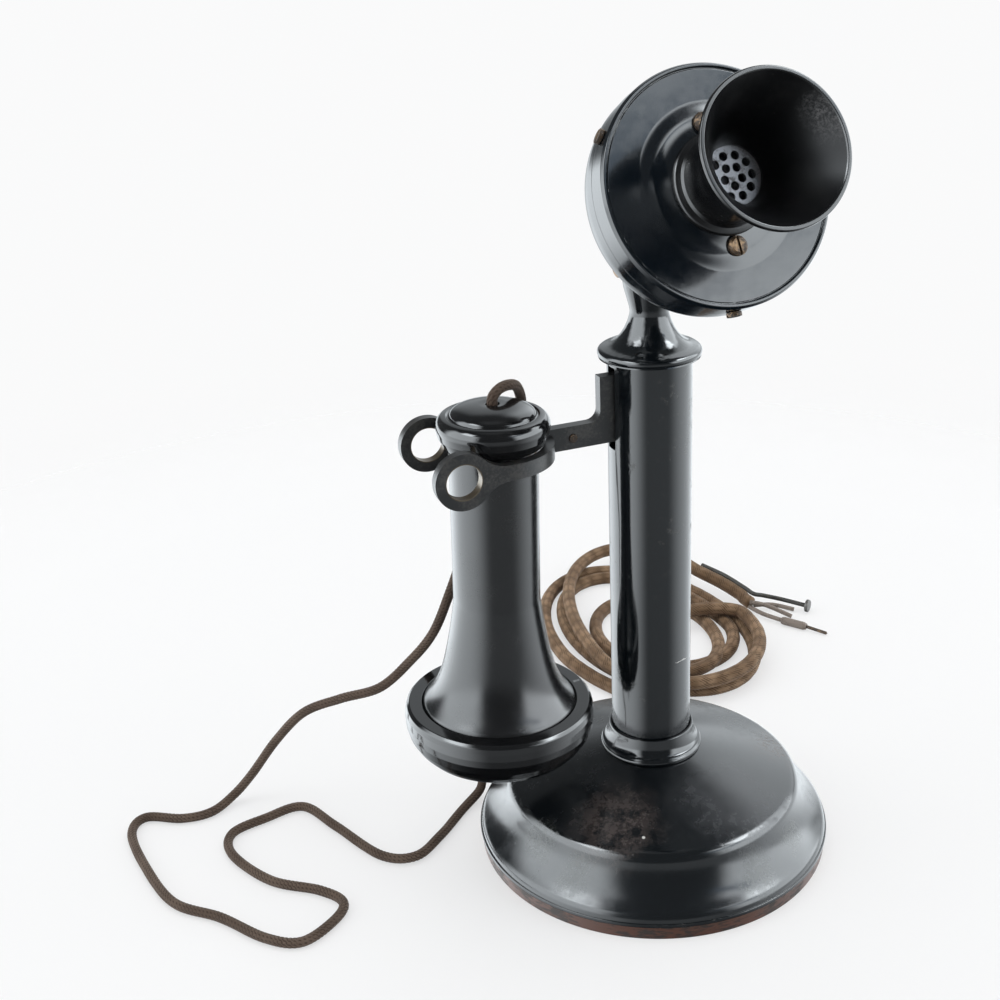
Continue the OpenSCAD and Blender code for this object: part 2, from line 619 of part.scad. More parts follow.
module hook_spring() color(steel) at_hook_pin() {
    wire = 0.55;
    coil = hook_pin_r + pass_gap + wire;
    first_y = lever_t / 2 + pass_gap + wire;
    turn_step = 1.6 * wire;
    rotate([-90, 0, 0]) rotate_extrude($fn = 40) for (i = [0:1])
        translate([coil, first_y + i * turn_step]) circle(r = wire, $fn = 16);
    bar([coil, first_y, 0], [coil, first_y, -13], 0.8 * wire);
    bar([-coil, first_y + turn_step, 0], [-coil, first_y + turn_step, -13], 0.8 * wire);
}
// Holes for the two screws of the spring pile
module stack_bores(gap) for (z = [disc_top_z + 2.7, disc_top_z + 7.3]) translate([0, 0, z])
    along_x(stack_screw_r + gap, fixed_low_x - 4, fixed_high_x + 4);
module leaf(x, low, high) box([x, -leaf_w / 2, low], [x + leaf_t, leaf_w / 2, high]);
module spring_insulators() color(fibre) difference() {
    for (ends = [[fixed_low_x - 2.4, fixed_low_x], [fixed_low_x + leaf_t, fixed_high_x],
            [fixed_high_x + leaf_t, fixed_high_x + 2.6]])
        box([ends[0], -4, disc_top_z], [ends[1], 4, disc_top_z + stack_h]);
    stack_bores(run_gap);
}
module spring_screws() color(brass) for (z = [disc_top_z + 2.7, disc_top_z + 7.3])
    translate([0, 0, z]) {
        along_x(stack_screw_r, fixed_low_x - 3, fixed_high_x + 3.2);
        along_x(1.7, fixed_high_x + 2.6 + 0.05, fixed_high_x + 3.8);
    }
contact_z = finger_z - 4;
module fixed_contacts() color(brass) difference() {
    union() {
        leaf(fixed_low_x, disc_top_z, contact_z + 2);
        leaf(fixed_high_x, disc_top_z, contact_z + 8);
        translate([0, 0, contact_z]) along_x(1, fixed_low_x + 0.1, fixed_low_x + leaf_t + 0.3);
        translate([0, 0, contact_z + 5]) along_x(1, moving_x + leaf_t + 0.5, fixed_high_x + 0.1);
    }
    stack_bores(run_gap);
}
module moving_contact() color(brass) {
    leaf(moving_x, moving_z, stud_z + 4);
    translate([moving_x + leaf_t / 2, 0, moving_z + bead_r]) along_y(bead_r, -leaf_w / 2, leaf_w / 2);
    translate([0, 0, contact_z]) along_x(1, moving_x - 0.3, moving_x + 0.1);
    translate([0, 0, contact_z + 5]) along_x(1, moving_x + 0.1, moving_x + leaf_t + 0.3);
}

// The transmitter --------------------------------------------------------------------------

// Outline of the cup's outside, or of its inside when w is the wall
function cup_outline(w) = concat(
    [for (i = [0:10]) [(cup_r - w) * sin(9 * i), cup_back + bowl_h - (bowl_h - w) * cos(9 * i)]],
    w > 0 ? [[cup_neck_r - w, cup_front], [cup_neck_r - w, face_out - face_t - 4]]
          : [[cup_r, cup_front], [cup_neck_r, cup_front], [cup_neck_r, face_out - face_t - 4]]);
module at_lug_screws() for (x = [-6, 6]) translate([x, lug_y, 0]) children();
module transmitter_cup() color(japan) at_transmitter() difference() {
    rotate_extrude($fn = 96) polygon(concat(cup_outline(0), reversed(cup_outline(cup_wall))));
    at_lug_screws() translate([0, 0, cup_back - 2]) cylinder(r = 1.55, h = 12, $fn = 24);
    at_rim_screws() along_x(rim_screw_r + run_gap, cup_neck_r - cup_wall - 3, rim_r + 2);
}
module transmitter_lug() color(japan) at_transmitter() difference() {
    union() {
        translate([0, lug_y, lug_z]) along_x(ear_r - 0.5, -lug_t / 2, lug_t / 2);
        box([-lug_t / 2, lug_y - ear_r + 0.5, lug_z], [lug_t / 2, lug_y + ear_r - 0.5, pad_back + 1]);
        translate([0, lug_y, pad_back]) cylinder(r = pad_r, h = cup_back - pad_back + 3);
    }
    translate([0, lug_y, lug_z]) along_x(tilt_screw_r + run_gap, -lug_t, lug_t);
    translate([0, 0, cup_back + bowl_h]) scale_bowl();
    at_lug_screws() translate([0, 0, pad_back + 1]) cylinder(r = 1.55, h = 20, $fn = 24);
}
// The cup's outer bowl, grown by the seat gap
module scale_bowl() rotate_extrude($fn = 96) polygon(concat(
    [for (i = [0:10]) [(cup_r + seat_gap) * sin(9 * i), -(bowl_h + seat_gap) * cos(9 * i)]], [[0, 0]]));
module lug_screws() color(brass) at_transmitter() at_lug_screws() {
    inner = cup_back + cup_wall + 2.1;
    translate([0, 0, pad_back + 1.5]) cylinder(r = 1.5, h = inner - pad_back - 1.3, $fn = 24);
    translate([0, 0, inner]) cylinder(r = 2.8, h = 1.6, $fn = 24);
}
module at_rim_screws() for (a = [29, 149, 269]) rotate(a) translate([0, 0, rim_screw_z]) children();
module faceplate() color(japan) at_transmitter() difference() {
    rotate_extrude($fn = 128) polygon(concat(
        [[face_bore_r, face_out - face_t], [face_bore_r, face_out + thread_h],
            [thread_r, face_out + thread_h], [thread_r, face_out]],
        [[face_r, face_out], [face_r + 0.1, face_out - 0.5], [rim_r, face_out - 1],
            [rim_r, face_out - face_rim_h], [rim_r - face_t, face_out - face_rim_h],
            [rim_r - face_t, face_out - face_t]]));
    at_rim_screws() along_x(rim_screw_r + run_gap, rim_r - face_t - 2, rim_r + 2);
    at_face_screws() translate([0, 0, face_out - face_t - 1])
        cylinder(r = 1.8 + run_gap, h = face_t + 2, $fn = 24);
}
module rim_screws() color(brass) at_transmitter() at_rim_screws() difference() {
    union() {
        along_x(rim_screw_r, cup_neck_r - cup_wall - 1, rim_r + 0.4);
        along_x(rim_screw_r + 0.9, rim_r + seat_gap, rim_r + 1.5);
    }
    box([rim_r + 0.9, -4, -0.35], [rim_r + 2, 4, 0.35]);
}
module at_face_screws() for (a = [-90, 90]) rotate(a + face_turn) translate([face_screw_circle, 0, 0]) children();
module face_screws() color(brass) at_transmitter() at_face_screws() difference() {
    union() {
        translate([0, 0, bridge_z + 1]) cylinder(r = 1.8, h = face_out - bridge_z - 0.8, $fn = 24);
        translate([0, 0, face_out + 0.05]) cylinder(r = 3.1, h = 1, $fn = 32);
        translate([0, 0, face_out + 1]) cylinder(r1 = 3.1, r2 = 2.2, h = 0.8, $fn = 32);
    }
    box([-4, -0.4, face_out + 0.9], [4, 0.4, face_out + 3]);
}
module transmitter_bridge() color(brass) at_transmitter() difference() {
    union() {
        rotate(face_turn)
            box([-6, -face_screw_circle - 4, bridge_z], [6, face_screw_circle + 4, bridge_z + bridge_t]);
        at_face_screws() translate([0, 0, bridge_z])
            cylinder(r = 3.6, h = diaphragm_z - 1.2 - bridge_z, $fn = 32);
    }
    at_face_screws() translate([0, 0, bridge_z - 1]) cylinder(r = 1.8 + run_gap, h = 20, $fn = 24);
}
module carbon_button() color(brass) at_transmitter() {
    translate([0, 0, button_z]) cylinder(r = button_r, h = button_h);
    translate([0, 0, button_z + button_h - 0.1]) cylinder(r = 3, h = 0.8);
}
module diaphragm() color([0.75, 0.75, 0.74]) at_transmitter() difference() {
    translate([0, 0, diaphragm_z]) cylinder(r = diaphragm_r, h = diaphragm_t, $fn = 96);
    at_face_screws() translate([0, 0, diaphragm_z - 1]) cylinder(r = 2.4, h = 3, $fn = 24);
}
module diaphragm_gasket() color([0.1, 0.1, 0.1]) at_transmitter() difference() {
    translate([0, 0, diaphragm_z]) cylinder(r = diaphragm_r + 3, h = 1.1, $fn = 96);
    translate([0, 0, diaphragm_z - 1]) cylinder(r = diaphragm_r + seat_gap, h = 4, $fn = 96);
}
module damping_springs() color(steel) at_transmitter() for (a = [20, 200]) rotate(a) {
    box([12.5, -2, diaphragm_z - 0.9], [26, 2, diaphragm_z - 0.4]);
    translate([24, 0, diaphragm_z - 0.5]) cylinder(r = 2, h = 0.45, $fn = 24);
}

// Mouthpiece outline: the horn's inside and outside radius at a height s above the face
horn_mouth_r = horn_rim_r - horn_lip_w;
function horn_in(s) =
    throat_r + (horn_mouth_r - throat_r) * pow((s - throat_z) / (horn_len - throat_z), 1.7);
function horn_out(s) =
    shank_r + (horn_rim_r - 0.5 - shank_r) * pow((s - shank_top) / (horn_len - 1.5 - shank_top), 2);
shank_top = 14;
module mouthpiece() color(ebonite) at_transmitter() translate([0, 0, face_out]) rotate_extrude($fn = 96)
    polygon(concat(
        [[thread_r + seat_gap, horn_foot], [horn_bead_r - 0.4, horn_foot]],
        arc([horn_bead_r - 1.3, 1.7], 1.3, -60, 60, 5),
        [[shank_r + 0.6, 3.4], [shank_r, 4.4]],
        [for (i = [0:8]) let (s = shank_top + (horn_len - 1.5 - shank_top) * i / 8) [horn_out(s), s]],
        [[horn_rim_r, horn_len - 0.9], [horn_rim_r - 0.3, horn_len], [horn_mouth_r + 0.2, horn_len]],
        [for (i = [8:-1:0]) let (s = throat_z + (horn_len - 0.4 - throat_z) * i / 8) [horn_in(s), s]],
        [[grille_r + seat_gap, throat_z], [grille_r + seat_gap, thread_h + seat_gap],
            [thread_r + seat_gap, thread_h + seat_gap]]));
module mouthpiece_grille() color([0.3, 0.3, 0.3]) at_transmitter() difference() {
    translate([0, 0, grille_z]) cylinder(r = grille_r, h = grille_t);
    for (ring = [[5, 3, 55], [10, 6.4, 0]]) for (i = [0:ring[0] - 1])
        rotate(ring[2] + 360 * i / ring[0]) translate([ring[1], 0, grille_z - 1])
            cylinder(r = grille_hole_r, h = grille_t + 2, $fn = 16);
}

// The receiver -----------------------------------------------------------------------------

// Radius of the handle's flare at a share t of its height, from its top down
function flare_r(t) = handle_r + (seam_r - handle_r) * (0.62 * pow(t, 1.3) + 0.38 * pow(t, 7));
module receiver_shell() color(ebonite) at_receiver() rotate_extrude($fn = 96) polygon(concat(
    [[spigot_r, cap_low + spigot_h], [spigot_r, cap_low], [handle_r, cap_low]],
    [for (i = [0:12]) [flare_r(i / 12), seam_z + flare_h * (1 - i / 12)]],
    [[seam_r, shell_end], [capsule_r, shell_end], [capsule_r, seam_z - 2],
        [capsule_r - 2, seam_z + 1]],
    [for (i = [9:-1:0]) [flare_r(i / 12) - handle_wall - i / 6, seam_z + flare_h * (1 - i / 12)]],
    [[handle_r - handle_wall - 2, cap_low - 3], [handle_r - handle_wall - 2, cap_low + spigot_h]]));
module receiver_cap() color(ebonite) at_receiver() translate([0, 0, cap_low]) rotate_extrude($fn = 96)
    polygon(concat(
        [[spigot_r + seat_gap, seat_gap], [handle_r + 0.3, seat_gap], [fork_gap, 2.05],
            [cap_r - 0.7, 5.2]],
        arc([cap_r - 4.2, 8.6], 4.2, -20, 60, 5),
        [[cap_r - 3.6, cap_h], [cap_r - 4.7, cap_h - 0.3]],
        [for (i = [0:5]) [cord_hole_r + (cap_r - 4.9 - cord_hole_r) * cos(16 * i),
            cap_h - 0.2 + cap_dome * sin(16 * i)]],
        [[cord_hole_r, cap_h + cap_dome - 0.4], [cord_hole_r, cap_h],
            [spigot_r - 3, cap_h - 3], [spigot_r + seat_gap, spigot_h + 0.3]]));
// The ear cap, measured down from the seam
module ear_cap() color(ebonite) at_receiver() translate([0, 0, ear_low]) rotate_extrude($fn = 96)
    polygon([
        [seam_r + seat_gap, earcap_h], [earcap_r - 1.6, earcap_h], [earcap_r - 0.6, earcap_h - 1],
        [earcap_r - 0.1, earcap_h - 3], [earcap_r, earcap_h - 5.8], [earcap_r - 0.2, earcap_h - 8.5],
        [earcap_r - 1.2, earcap_h - 12], [earcap_r - 3.2, 5], [earcap_r - 5.6, 2.4],
        [earcap_r - 7.8, 0.8], [earcap_r - 9.4, 0.1], [earcap_r - 10.4, 0], [earcap_r - 11.4, 0.5],
        [earcap_r - 18, dish_depth - 2.4], [sound_hole_r + 4, dish_depth - 0.8],
        [sound_hole_r, dish_depth], [sound_hole_r, dish_depth + 2.2],
        [seam_r - 4, ledge_z - ear_low - 1.2], [seam_r - 2, ledge_z - ear_low],
        [seam_r + seat_gap, ledge_z - ear_low]]);
module receiver_diaphragm() color([0.3, 0.31, 0.33]) at_receiver() translate([0, 0, ledge_z + 0.04])
    cylinder(r = seam_r - 0.1, h = 0.4, $fn = 96);
// The magnet: two legs, a bow over them, and a holding disc between handle and ear cap
leg_x = 6.5;
leg_t = 5;
magnet_w = 10;
bow_h = 7;
bow_z = cap_low - 10;
holder_z = seam_z - 1;
holder_t = 2;
holder_hole_r = 2;
holder_hole_x = 14;
module receiver_magnet() color([0.35, 0.33, 0.32]) at_receiver() {
    for (s = [-1, 1]) box([s * leg_x - leg_t / 2, -magnet_w / 2, holder_z],
        [s * leg_x + leg_t / 2, magnet_w / 2, bow_z + bow_h / 2]);
    box([-leg_x - leg_t / 2, -magnet_w / 2, bow_z], [leg_x + leg_t / 2, magnet_w / 2, bow_z + bow_h]);
    translate([0, 0, holder_z]) difference() {
        cylinder(r = capsule_r - 2.3, h = holder_t);
        for (s = [-1, 1]) translate([s * holder_hole_x, 0, -1])
            cylinder(r = holder_hole_r, h = holder_t + 2, $fn = 24);
    }
}
pole_r = 1.8;
bobbin_r = 5.6;
bobbin_z = shell_end + 0.6;
module receiver_coils() color([0.5, 0.24, 0.12]) at_receiver() for (s = [-1, 1])
    translate([s * leg_x, 0, bobbin_z]) {
        cylinder(r = pole_r, h = holder_z - bobbin_z - seat_gap, $fn = 24);
        translate([0, 0, 1]) cylinder(r = bobbin_r, h = holder_z - bobbin_z - 1.2, $fn = 40);
    }
terminal_r = 2;
terminal_len = 8;
module receiver_terminals() color(brass) at_receiver() for (s = [-1, 1])
    translate([s * 5.5, 0, bow_z + bow_h]) cylinder(r = terminal_r, h = terminal_len, $fn = 24);

// The cords --------------------------------------------------------------------------------

function radial(az, r, z) = [r * cos(az), r * sin(az), z];
// Distances of the cords' ends from the stem's axis, and of the receiver cord's last bend
receiver_end_r = bushing_face_r + 0.6;
receiver_bend = [bushing_face_r + 4.7, bushing_z - 1.2];
desk_end_r = bushing_face_r + 0.9;
module receiver_cord() color(braid)
    tube(refined(concat(RECEIVER_ROUTE, [radial(receiver_cord_az, receiver_bend[0], receiver_bend[1]),
        radial(receiver_cord_az, receiver_end_r, bushing_z)])), receiver_cord_r);
module desk_cord_lead() color(braid)
    tube(refined(concat([radial(desk_cord_az, desk_end_r, bushing_z)], LEAD_ROUTE)), desk_cord_r);
// The coil: a flat ring with straight flanks between two round ends
module coil_outline(r) hull() for (c = coil_centres) translate(c) circle(r = r);
module desk_cord_coil() color(braid) linear_extrude(coil_h) difference() {
    coil_outline(coil_r);
    coil_outline(coil_r - coil_band_w);
}
module desk_cord_tail() color(braid) tube(TAIL_ROUTE, desk_cord_r);
module conductors() color([0.3, 0.28, 0.25]) for (route = CONDUCTOR_ROUTES) tube(route, conductor_r, 6);
module conductor_tips() color([0.6, 0.58, 0.55]) {
    bar(TIP_HEAD[0], TIP_HEAD[1], tip_head_r);
    bar(TIP_FERRULE[0], TIP_FERRULE[1], ferrule_r);
    bar(TIP_FERRULE[1], TIP_PIN_END, pin_tip_r);
}

base_shell();
base_ring();
felt_pad();
bottom_plate();
bottom_screws();
terminal_block();
terminal_screws();
receiver_cord_bushing();
desk_cord_bushing();
stem_foot();
stem_nut();
stem_tube();
stem_cap();
switch_bracket();
bracket_screw();
hook_pivot_pin();
hook_lever();
hook_rivet();
lever_stud();
hook_spring();
spring_insulators();
spring_screws();
fixed_contacts();
moving_contact();
transmitter_lug();
lug_screws();
tilt_screw();
tilt_nut();
transmitter_cup();
faceplate();
rim_screws();
face_screws();
transmitter_bridge();
carbon_button();
diaphragm();
diaphragm_gasket();
damping_springs();
mouthpiece();
mouthpiece_grille();
receiver_shell();
receiver_cap();
ear_cap();
receiver_diaphragm();
receiver_magnet();
receiver_coils();
receiver_terminals();
receiver_cord();
desk_cord_lead();
desk_cord_coil();
desk_cord_tail();
conductors();
conductor_tips();
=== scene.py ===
# %% [markdown]
# # A candlestick desk telephone, dressed piece by piece
# The solid model already gives every size and every place. Here each piece
# that shows gets a finer skin and a finish: lacquer, hard rubber, iron,
# brass, fibre and braided cord. First the solid model is loaded.

import math

import bmesh
import bpy
import numpy as np
from mathutils import Matrix, Vector


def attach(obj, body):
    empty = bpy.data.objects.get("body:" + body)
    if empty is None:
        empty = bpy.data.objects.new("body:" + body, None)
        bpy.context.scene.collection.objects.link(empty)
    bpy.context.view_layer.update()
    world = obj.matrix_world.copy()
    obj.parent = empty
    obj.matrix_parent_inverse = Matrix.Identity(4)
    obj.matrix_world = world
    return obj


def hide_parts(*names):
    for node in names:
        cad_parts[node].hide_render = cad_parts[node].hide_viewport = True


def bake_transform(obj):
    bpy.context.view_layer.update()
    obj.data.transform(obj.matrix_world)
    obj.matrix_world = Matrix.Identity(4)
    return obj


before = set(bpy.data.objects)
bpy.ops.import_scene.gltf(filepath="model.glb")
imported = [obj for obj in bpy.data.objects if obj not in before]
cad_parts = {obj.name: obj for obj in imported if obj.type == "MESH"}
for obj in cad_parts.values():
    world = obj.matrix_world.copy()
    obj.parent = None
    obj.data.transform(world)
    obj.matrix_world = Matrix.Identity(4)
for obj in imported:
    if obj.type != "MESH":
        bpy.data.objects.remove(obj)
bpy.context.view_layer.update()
MM = 0.001

# %% [markdown]
# The camera comes first, so that every later cell can be judged by eye. It
# stands left of the telephone, a little above the mouthpiece, and looks down.
# Its rightward and upward directions are written out, because close to the
# table a small turn of the camera is easy to see.

# %% The camera
CAMERA_AT = Vector((-212.41, -435.51, 353.41)) * MM
CAMERA_RIGHT = Vector((0.93489, -0.35212, -0.04451))
CAMERA_UP = Vector((0.17783, 0.35619, 0.91733))
SENSOR = 36.0
FOCAL = 51.992

camera = bpy.data.objects.new("camera", bpy.data.cameras.new("camera"))
camera.data.sensor_width = SENSOR
camera.data.lens = FOCAL
turn = Matrix((CAMERA_RIGHT, CAMERA_UP, CAMERA_RIGHT.cross(CAMERA_UP))).transposed()
camera.matrix_world = Matrix.Translation(CAMERA_AT) @ turn.to_4x4()
bpy.context.scene.collection.objects.link(camera)
bpy.context.scene.camera = camera
print("camera height:", round(camera.location.z, 3), "m")

# %% [markdown]
# A cord is a line first and a tube second. The solid model holds the same
# points, and a smooth curve through them gives the line, which is then
# measured and walked in even steps.

# %% A line through the points
SPAN_STEPS = 24


def along_of(line):
    """How far along a line each of its points lies."""
    return np.concatenate([[0], np.cumsum(np.linalg.norm(np.diff(line, axis=0), axis=1))])


def length_of(line):
    return float(along_of(line)[-1])


def smooth_line(points, step):
    """A smooth curve through given points, with a point every step."""
    p = np.array([points[0], *points, points[-1]], float)
    t = np.linspace(0, 1, SPAN_STEPS, endpoint=False)[:, None]
    spans = [0.5 * (2 * b + (c - a) * t + (2 * a - 5 * b + 4 * c - d) * t * t
                    + (3 * b - a - 3 * c + d) * t ** 3)
             for a, b, c, d in zip(p, p[1:], p[2:], p[3:])]
    line = np.concatenate(spans + [p[-1:]])
    along = along_of(line)
    at = np.linspace(0, along[-1], int(along[-1] / step) + 1)
    return np.stack([np.interp(at, along, line[:, k]) for k in range(3)], axis=1)


print("a line 3 mm across and 4 mm up is", length_of(smooth_line([(0, 0, 0), (3, 4, 0)], 1)), "mm long")

# %% [markdown]
# A ring of points is set square to the line at every step. The rings are
# carried along without twisting, which is what a real cord does when it is
# laid down gently.

# %% Rings that don't twist
OFF_THE_LINE = (0.2, 1.0, 0.3)


def carried_frames(line):
    """For each point of a line, two directions square to it that don't twist."""
    heading = np.gradient(line, axis=0)
    heading /= np.linalg.norm(heading, axis=1)[:, None]
    side = np.cross(heading[0], OFF_THE_LINE)
    sides = []
    for direction in heading:
        side = side - direction * (side @ direction)
        side /= np.linalg.norm(side)
        sides.append(side)
    sides = np.array(sides)
    return sides, np.cross(heading, sides)


def new_mesh(name, points, faces):
    """A smooth mesh object from points in millimetres."""
    mesh = bpy.data.meshes.new(name)
    mesh.from_pydata((np.asarray(points) * MM).tolist(), [], faces)
    mesh.polygons.foreach_set("use_smooth", np.ones(len(mesh.polygons), bool))
    mesh.update()
    made = bpy.data.objects.new(name, mesh)
    bpy.context.scene.collection.objects.link(made)
    return made


def keep_number(made, name, values):
    """Keeps a number for each point of a mesh, which its finish can read."""
    made.data.attributes.new(name, "FLOAT", "POINT").data.foreach_set(
        "value", np.asarray(values, np.float32).ravel())


# %% [markdown]
# Braided cotton has a shape as well as a colour: two families of yarn wind
# round the cord in opposite directions and lift over each other. The tube's
# radius is raised a little along both helices, and the height is kept on the
# mesh, so that the finish can paint shade into the gaps between yarns.
# Without yarns both helices stand still, and the tube is plain.

# %% A tube, plain or braided
def tube(name, line, radius, sides=12, yarns=0, lay=1.0, relief=0.05):
    """A tube round a line. With yarns, two helices of them are raised on it."""
    across, up = carried_frames(line)
    turn = np.arange(sides) * 2 * math.pi / sides
    wound = along_of(line)[:, None] / (lay * radius)
    over = np.maximum(np.cos(yarns * (turn + wound)), np.cos(yarns * (turn - wound)))
    reach = radius * (1 - relief + relief * over)
    rings = (line[:, None] + reach[..., None] * (
        np.cos(turn)[None, :, None] * across[:, None] + np.sin(turn)[None, :, None] * up[:, None]))
    n = len(line)
    faces = [[i * sides + k, i * sides + (k + 1) % sides,
              (i + 1) * sides + (k + 1) % sides, (i + 1) * sides + k]
             for i in range(n - 1) for k in range(sides)]
    faces += [list(range(sides - 1, -1, -1)), list(range((n - 1) * sides, n * sides))]
    made = new_mesh(name, rings.reshape(-1, 3), faces)
    keep_number(made, "weave", over)
    return made


# %% [markdown]
# The receiver's cord rises out of the hole in the receiver's cap, loops over
# and hangs beside the receiver, then wanders over the table and back to the
# base. Its points were chosen one by one.

# %% The receiver cord's route
RECEIVER_CORD_R = 1.9
FINE_STEP = 0.55
BUSHING_Z = 14


def off_axis(degrees, radius, height):
    """A point at a direction and a distance from the stem's axis."""
    a = math.radians(degrees)
    return (radius * math.cos(a), radius * math.sin(a), height)


RECEIVER_ROUTE = [
    (-59, 0, 188), (-58.6, 0.5, 192), (-55.5, 2, 194.2), (-50.7, 5, 194), (-46, 10, 190.8),
    (-42.5, 16, 182.5), (-42.3, 21.5, 173), (-46, 26, 158), (-54, 30, 140), (-62, 30.5, 123),
    (-69, 30, 107), (-75, 36, 88), (-83.5, 42.5, 74), (-94.5, 50, 61), (-108.5, 60, 54),
    (-122, 70, 45.5), (-133, 79, 30), (-144, 84.5, 13), (-152.5, 86, 4), (-163, 80.5, 2.1),
    (-175, 81, 2), (-189, 88, 2), (-196, 79, 2), (-194, 55, 2), (-187, 28, 2), (-172, 12, 2),
    (-159, -6, 2), (-147, -13.5, 2), (-133, -6.5, 2), (-127.5, 2, 2), (-134, 12.5, 2),
    (-150, 26, 2), (-160.5, 48, 2), (-158, 62, 2), (-143, 67, 2), (-127, 68.5, 2),
    (-118, 50, 2), (-106.5, 24, 2), (-94, 17.5, 2), (-81, 26, 2), (-67, 39, 2), (-57, 46, 4),
    (-54.6, 47.5, 8.6), off_axis(138, 71.2, 12.8), off_axis(138, 67.1, BUSHING_Z)]
HANGS_FROM = np.array(RECEIVER_ROUTE[14])
LANDS_AT = np.array(RECEIVER_ROUTE[19])
receiver_line = smooth_line(RECEIVER_ROUTE, FINE_STEP)
print("receiver cord:", round(length_of(receiver_line)), "mm")

# %% [markdown]
# On the real telephone the cord's top moves with the receiver, its middle
# hangs with the hook, and what lies on the table stays there, so the cord is
# made as three lengths that meet end to end. Only the length on the table
# rides on a body, the stand.

# %% Three lengths of one cord
leave = int(np.linalg.norm(receiver_line - HANGS_FROM, axis=1).argmin())
land = int(np.linalg.norm(receiver_line - LANDS_AT, axis=1).argmin())
LENGTHS = {"receiver_cord_top": ("hanging", receiver_line[:leave + 1]),
           "receiver_cord_middle": ("hanging", receiver_line[leave:land + 1]),
           "receiver_cord_table": ("loose", receiver_line[land:])}
receiver_cords = {}
for name, (lay, line) in LENGTHS.items():
    piece = tube(name, line, RECEIVER_CORD_R, sides=24, yarns=8, lay=1.15)
    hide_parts("receiver_cord")
    receiver_cords[name] = piece
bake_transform(receiver_cords["receiver_cord_top"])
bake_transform(receiver_cords["receiver_cord_middle"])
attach(receiver_cords["receiver_cord_table"], "stand")
print("its lengths:", [round(length_of(line)) for lay, line in LENGTHS.values()], "mm")

# %% [markdown]
# The desk cord is thicker. It leaves the back of the base and lies in a
# careless coil behind it. A table of half turns draws the coil: each row says
# where the cord swings to, in which layer it lies and how far it bulges on
# the way. A loop turns each row into points, and the smooth line does the rest.

# %% The desk cord
DESK_CORD_R = 3.25
COARSE_STEP = 0.8
LEAD_ROUTE = [off_axis(62, 67.4, BUSHING_Z), (34.5, 65, 12), (37, 73, 6.5),
              (37, 80, 3.8), (35.8, 85, 3.4), (30, 97, 3.4), (23.5, 115, 3.4)]
TAIL_ROUTE = [(121.5, 165, 8.3), (126, 153, 6), (126.2, 148.5, 5.5), (127, 144, 5)]
LOW, HIGH = 3.35, 9.9
COIL_START = (20, 138, LOW)
HALF_TURNS = [
    # swings to x, y, layer, and bulges by
    (113, 135, LOW, 78), (31, 145, LOW, -61), (107, 135, LOW, 66), (42, 138, LOW, -36),
    (98, 140, LOW, 37), (44, 112, HIGH, -33), (113.5, 126, HIGH, 22), (30.5, 118, HIGH, -46),
    (115.5, 180, HIGH, 72)]


def half_turn(start, x, y, z, bulge, steps=8):
    """The points of one swing of the cord, without its first."""
    swing = []
    for k in range(1, steps + 1):
        share = k / steps
        across = (1 - math.cos(math.pi * share)) / 2
        climb = share * share * (3 - 2 * share)
        swing.append((start[0] + (x - start[0]) * across,
                      start[1] + (y - start[1]) * share + bulge * math.sin(math.pi * share),
                      start[2] + (z - start[2]) * climb))
    return swing


route = LEAD_ROUTE + [COIL_START]
for row in HALF_TURNS:
    route += half_turn(route[-1], *row)
desk_line = smooth_line(route + TAIL_ROUTE, COARSE_STEP)
desk_cord = tube("desk_cord", desk_line, DESK_CORD_R, sides=36, yarns=14, relief=0.03)
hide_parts("desk_cord_lead", "desk_cord_coil", "desk_cord_tail")
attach(desk_cord, "stand")
print("desk cord:", round(length_of(desk_line)), "mm")

# %% [markdown]
# A finish is a small sum worked out for every point of a surface: how much
# noise, how near an edge, how far from the middle. Blender draws such sums as
# boxes and wires. Written as Python they are much easier to read, so a value
# on a wire is wrapped here, and + - * / on it add the boxes. Numbers go
# through Math, directions through Vector Math and colours through Mix,
# because a Math box would turn a colour grey.

# %% A value on a wire
class Value:
    """A value on a wire, which can be used in a sum."""

    def __init__(self, tree, socket):
        self.tree, self.socket = tree, socket

    def sum(self, word, a, b):
        """Adds the box for one step of a sum."""
        kinds = {v.socket.type for v in (a, b) if isinstance(v, Value)}
        if "RGBA" in kinds:
            return self.tree.mixed(1.0, a, b, word)
        kind = "ShaderNodeVectorMath" if "VECTOR" in kinds else "ShaderNodeMath"
        return self.tree.box(kind, {"operation": word}, a, b)

    def __add__(self, other):
        return self.sum("ADD", self, other)

    def __radd__(self, other):
        return self.sum("ADD", other, self)

    def __sub__(self, other):
        return self.sum("SUBTRACT", self, other)

    def __rsub__(self, other):
        return self.sum("SUBTRACT", other, self)

    def __mul__(self, other):
        return self.sum("MULTIPLY", self, other)

    def __rmul__(self, other):
        return self.sum("MULTIPLY", other, self)

    def __truediv__(self, other):
        return self.sum("DIVIDE", self, other)


# %% [markdown]
# The boxes themselves come from one method. It takes a box's kind and its
# settings, then numbers, colours or wires for its sockets. The last box of
# every tree is its skin, which decides how the surface looks.

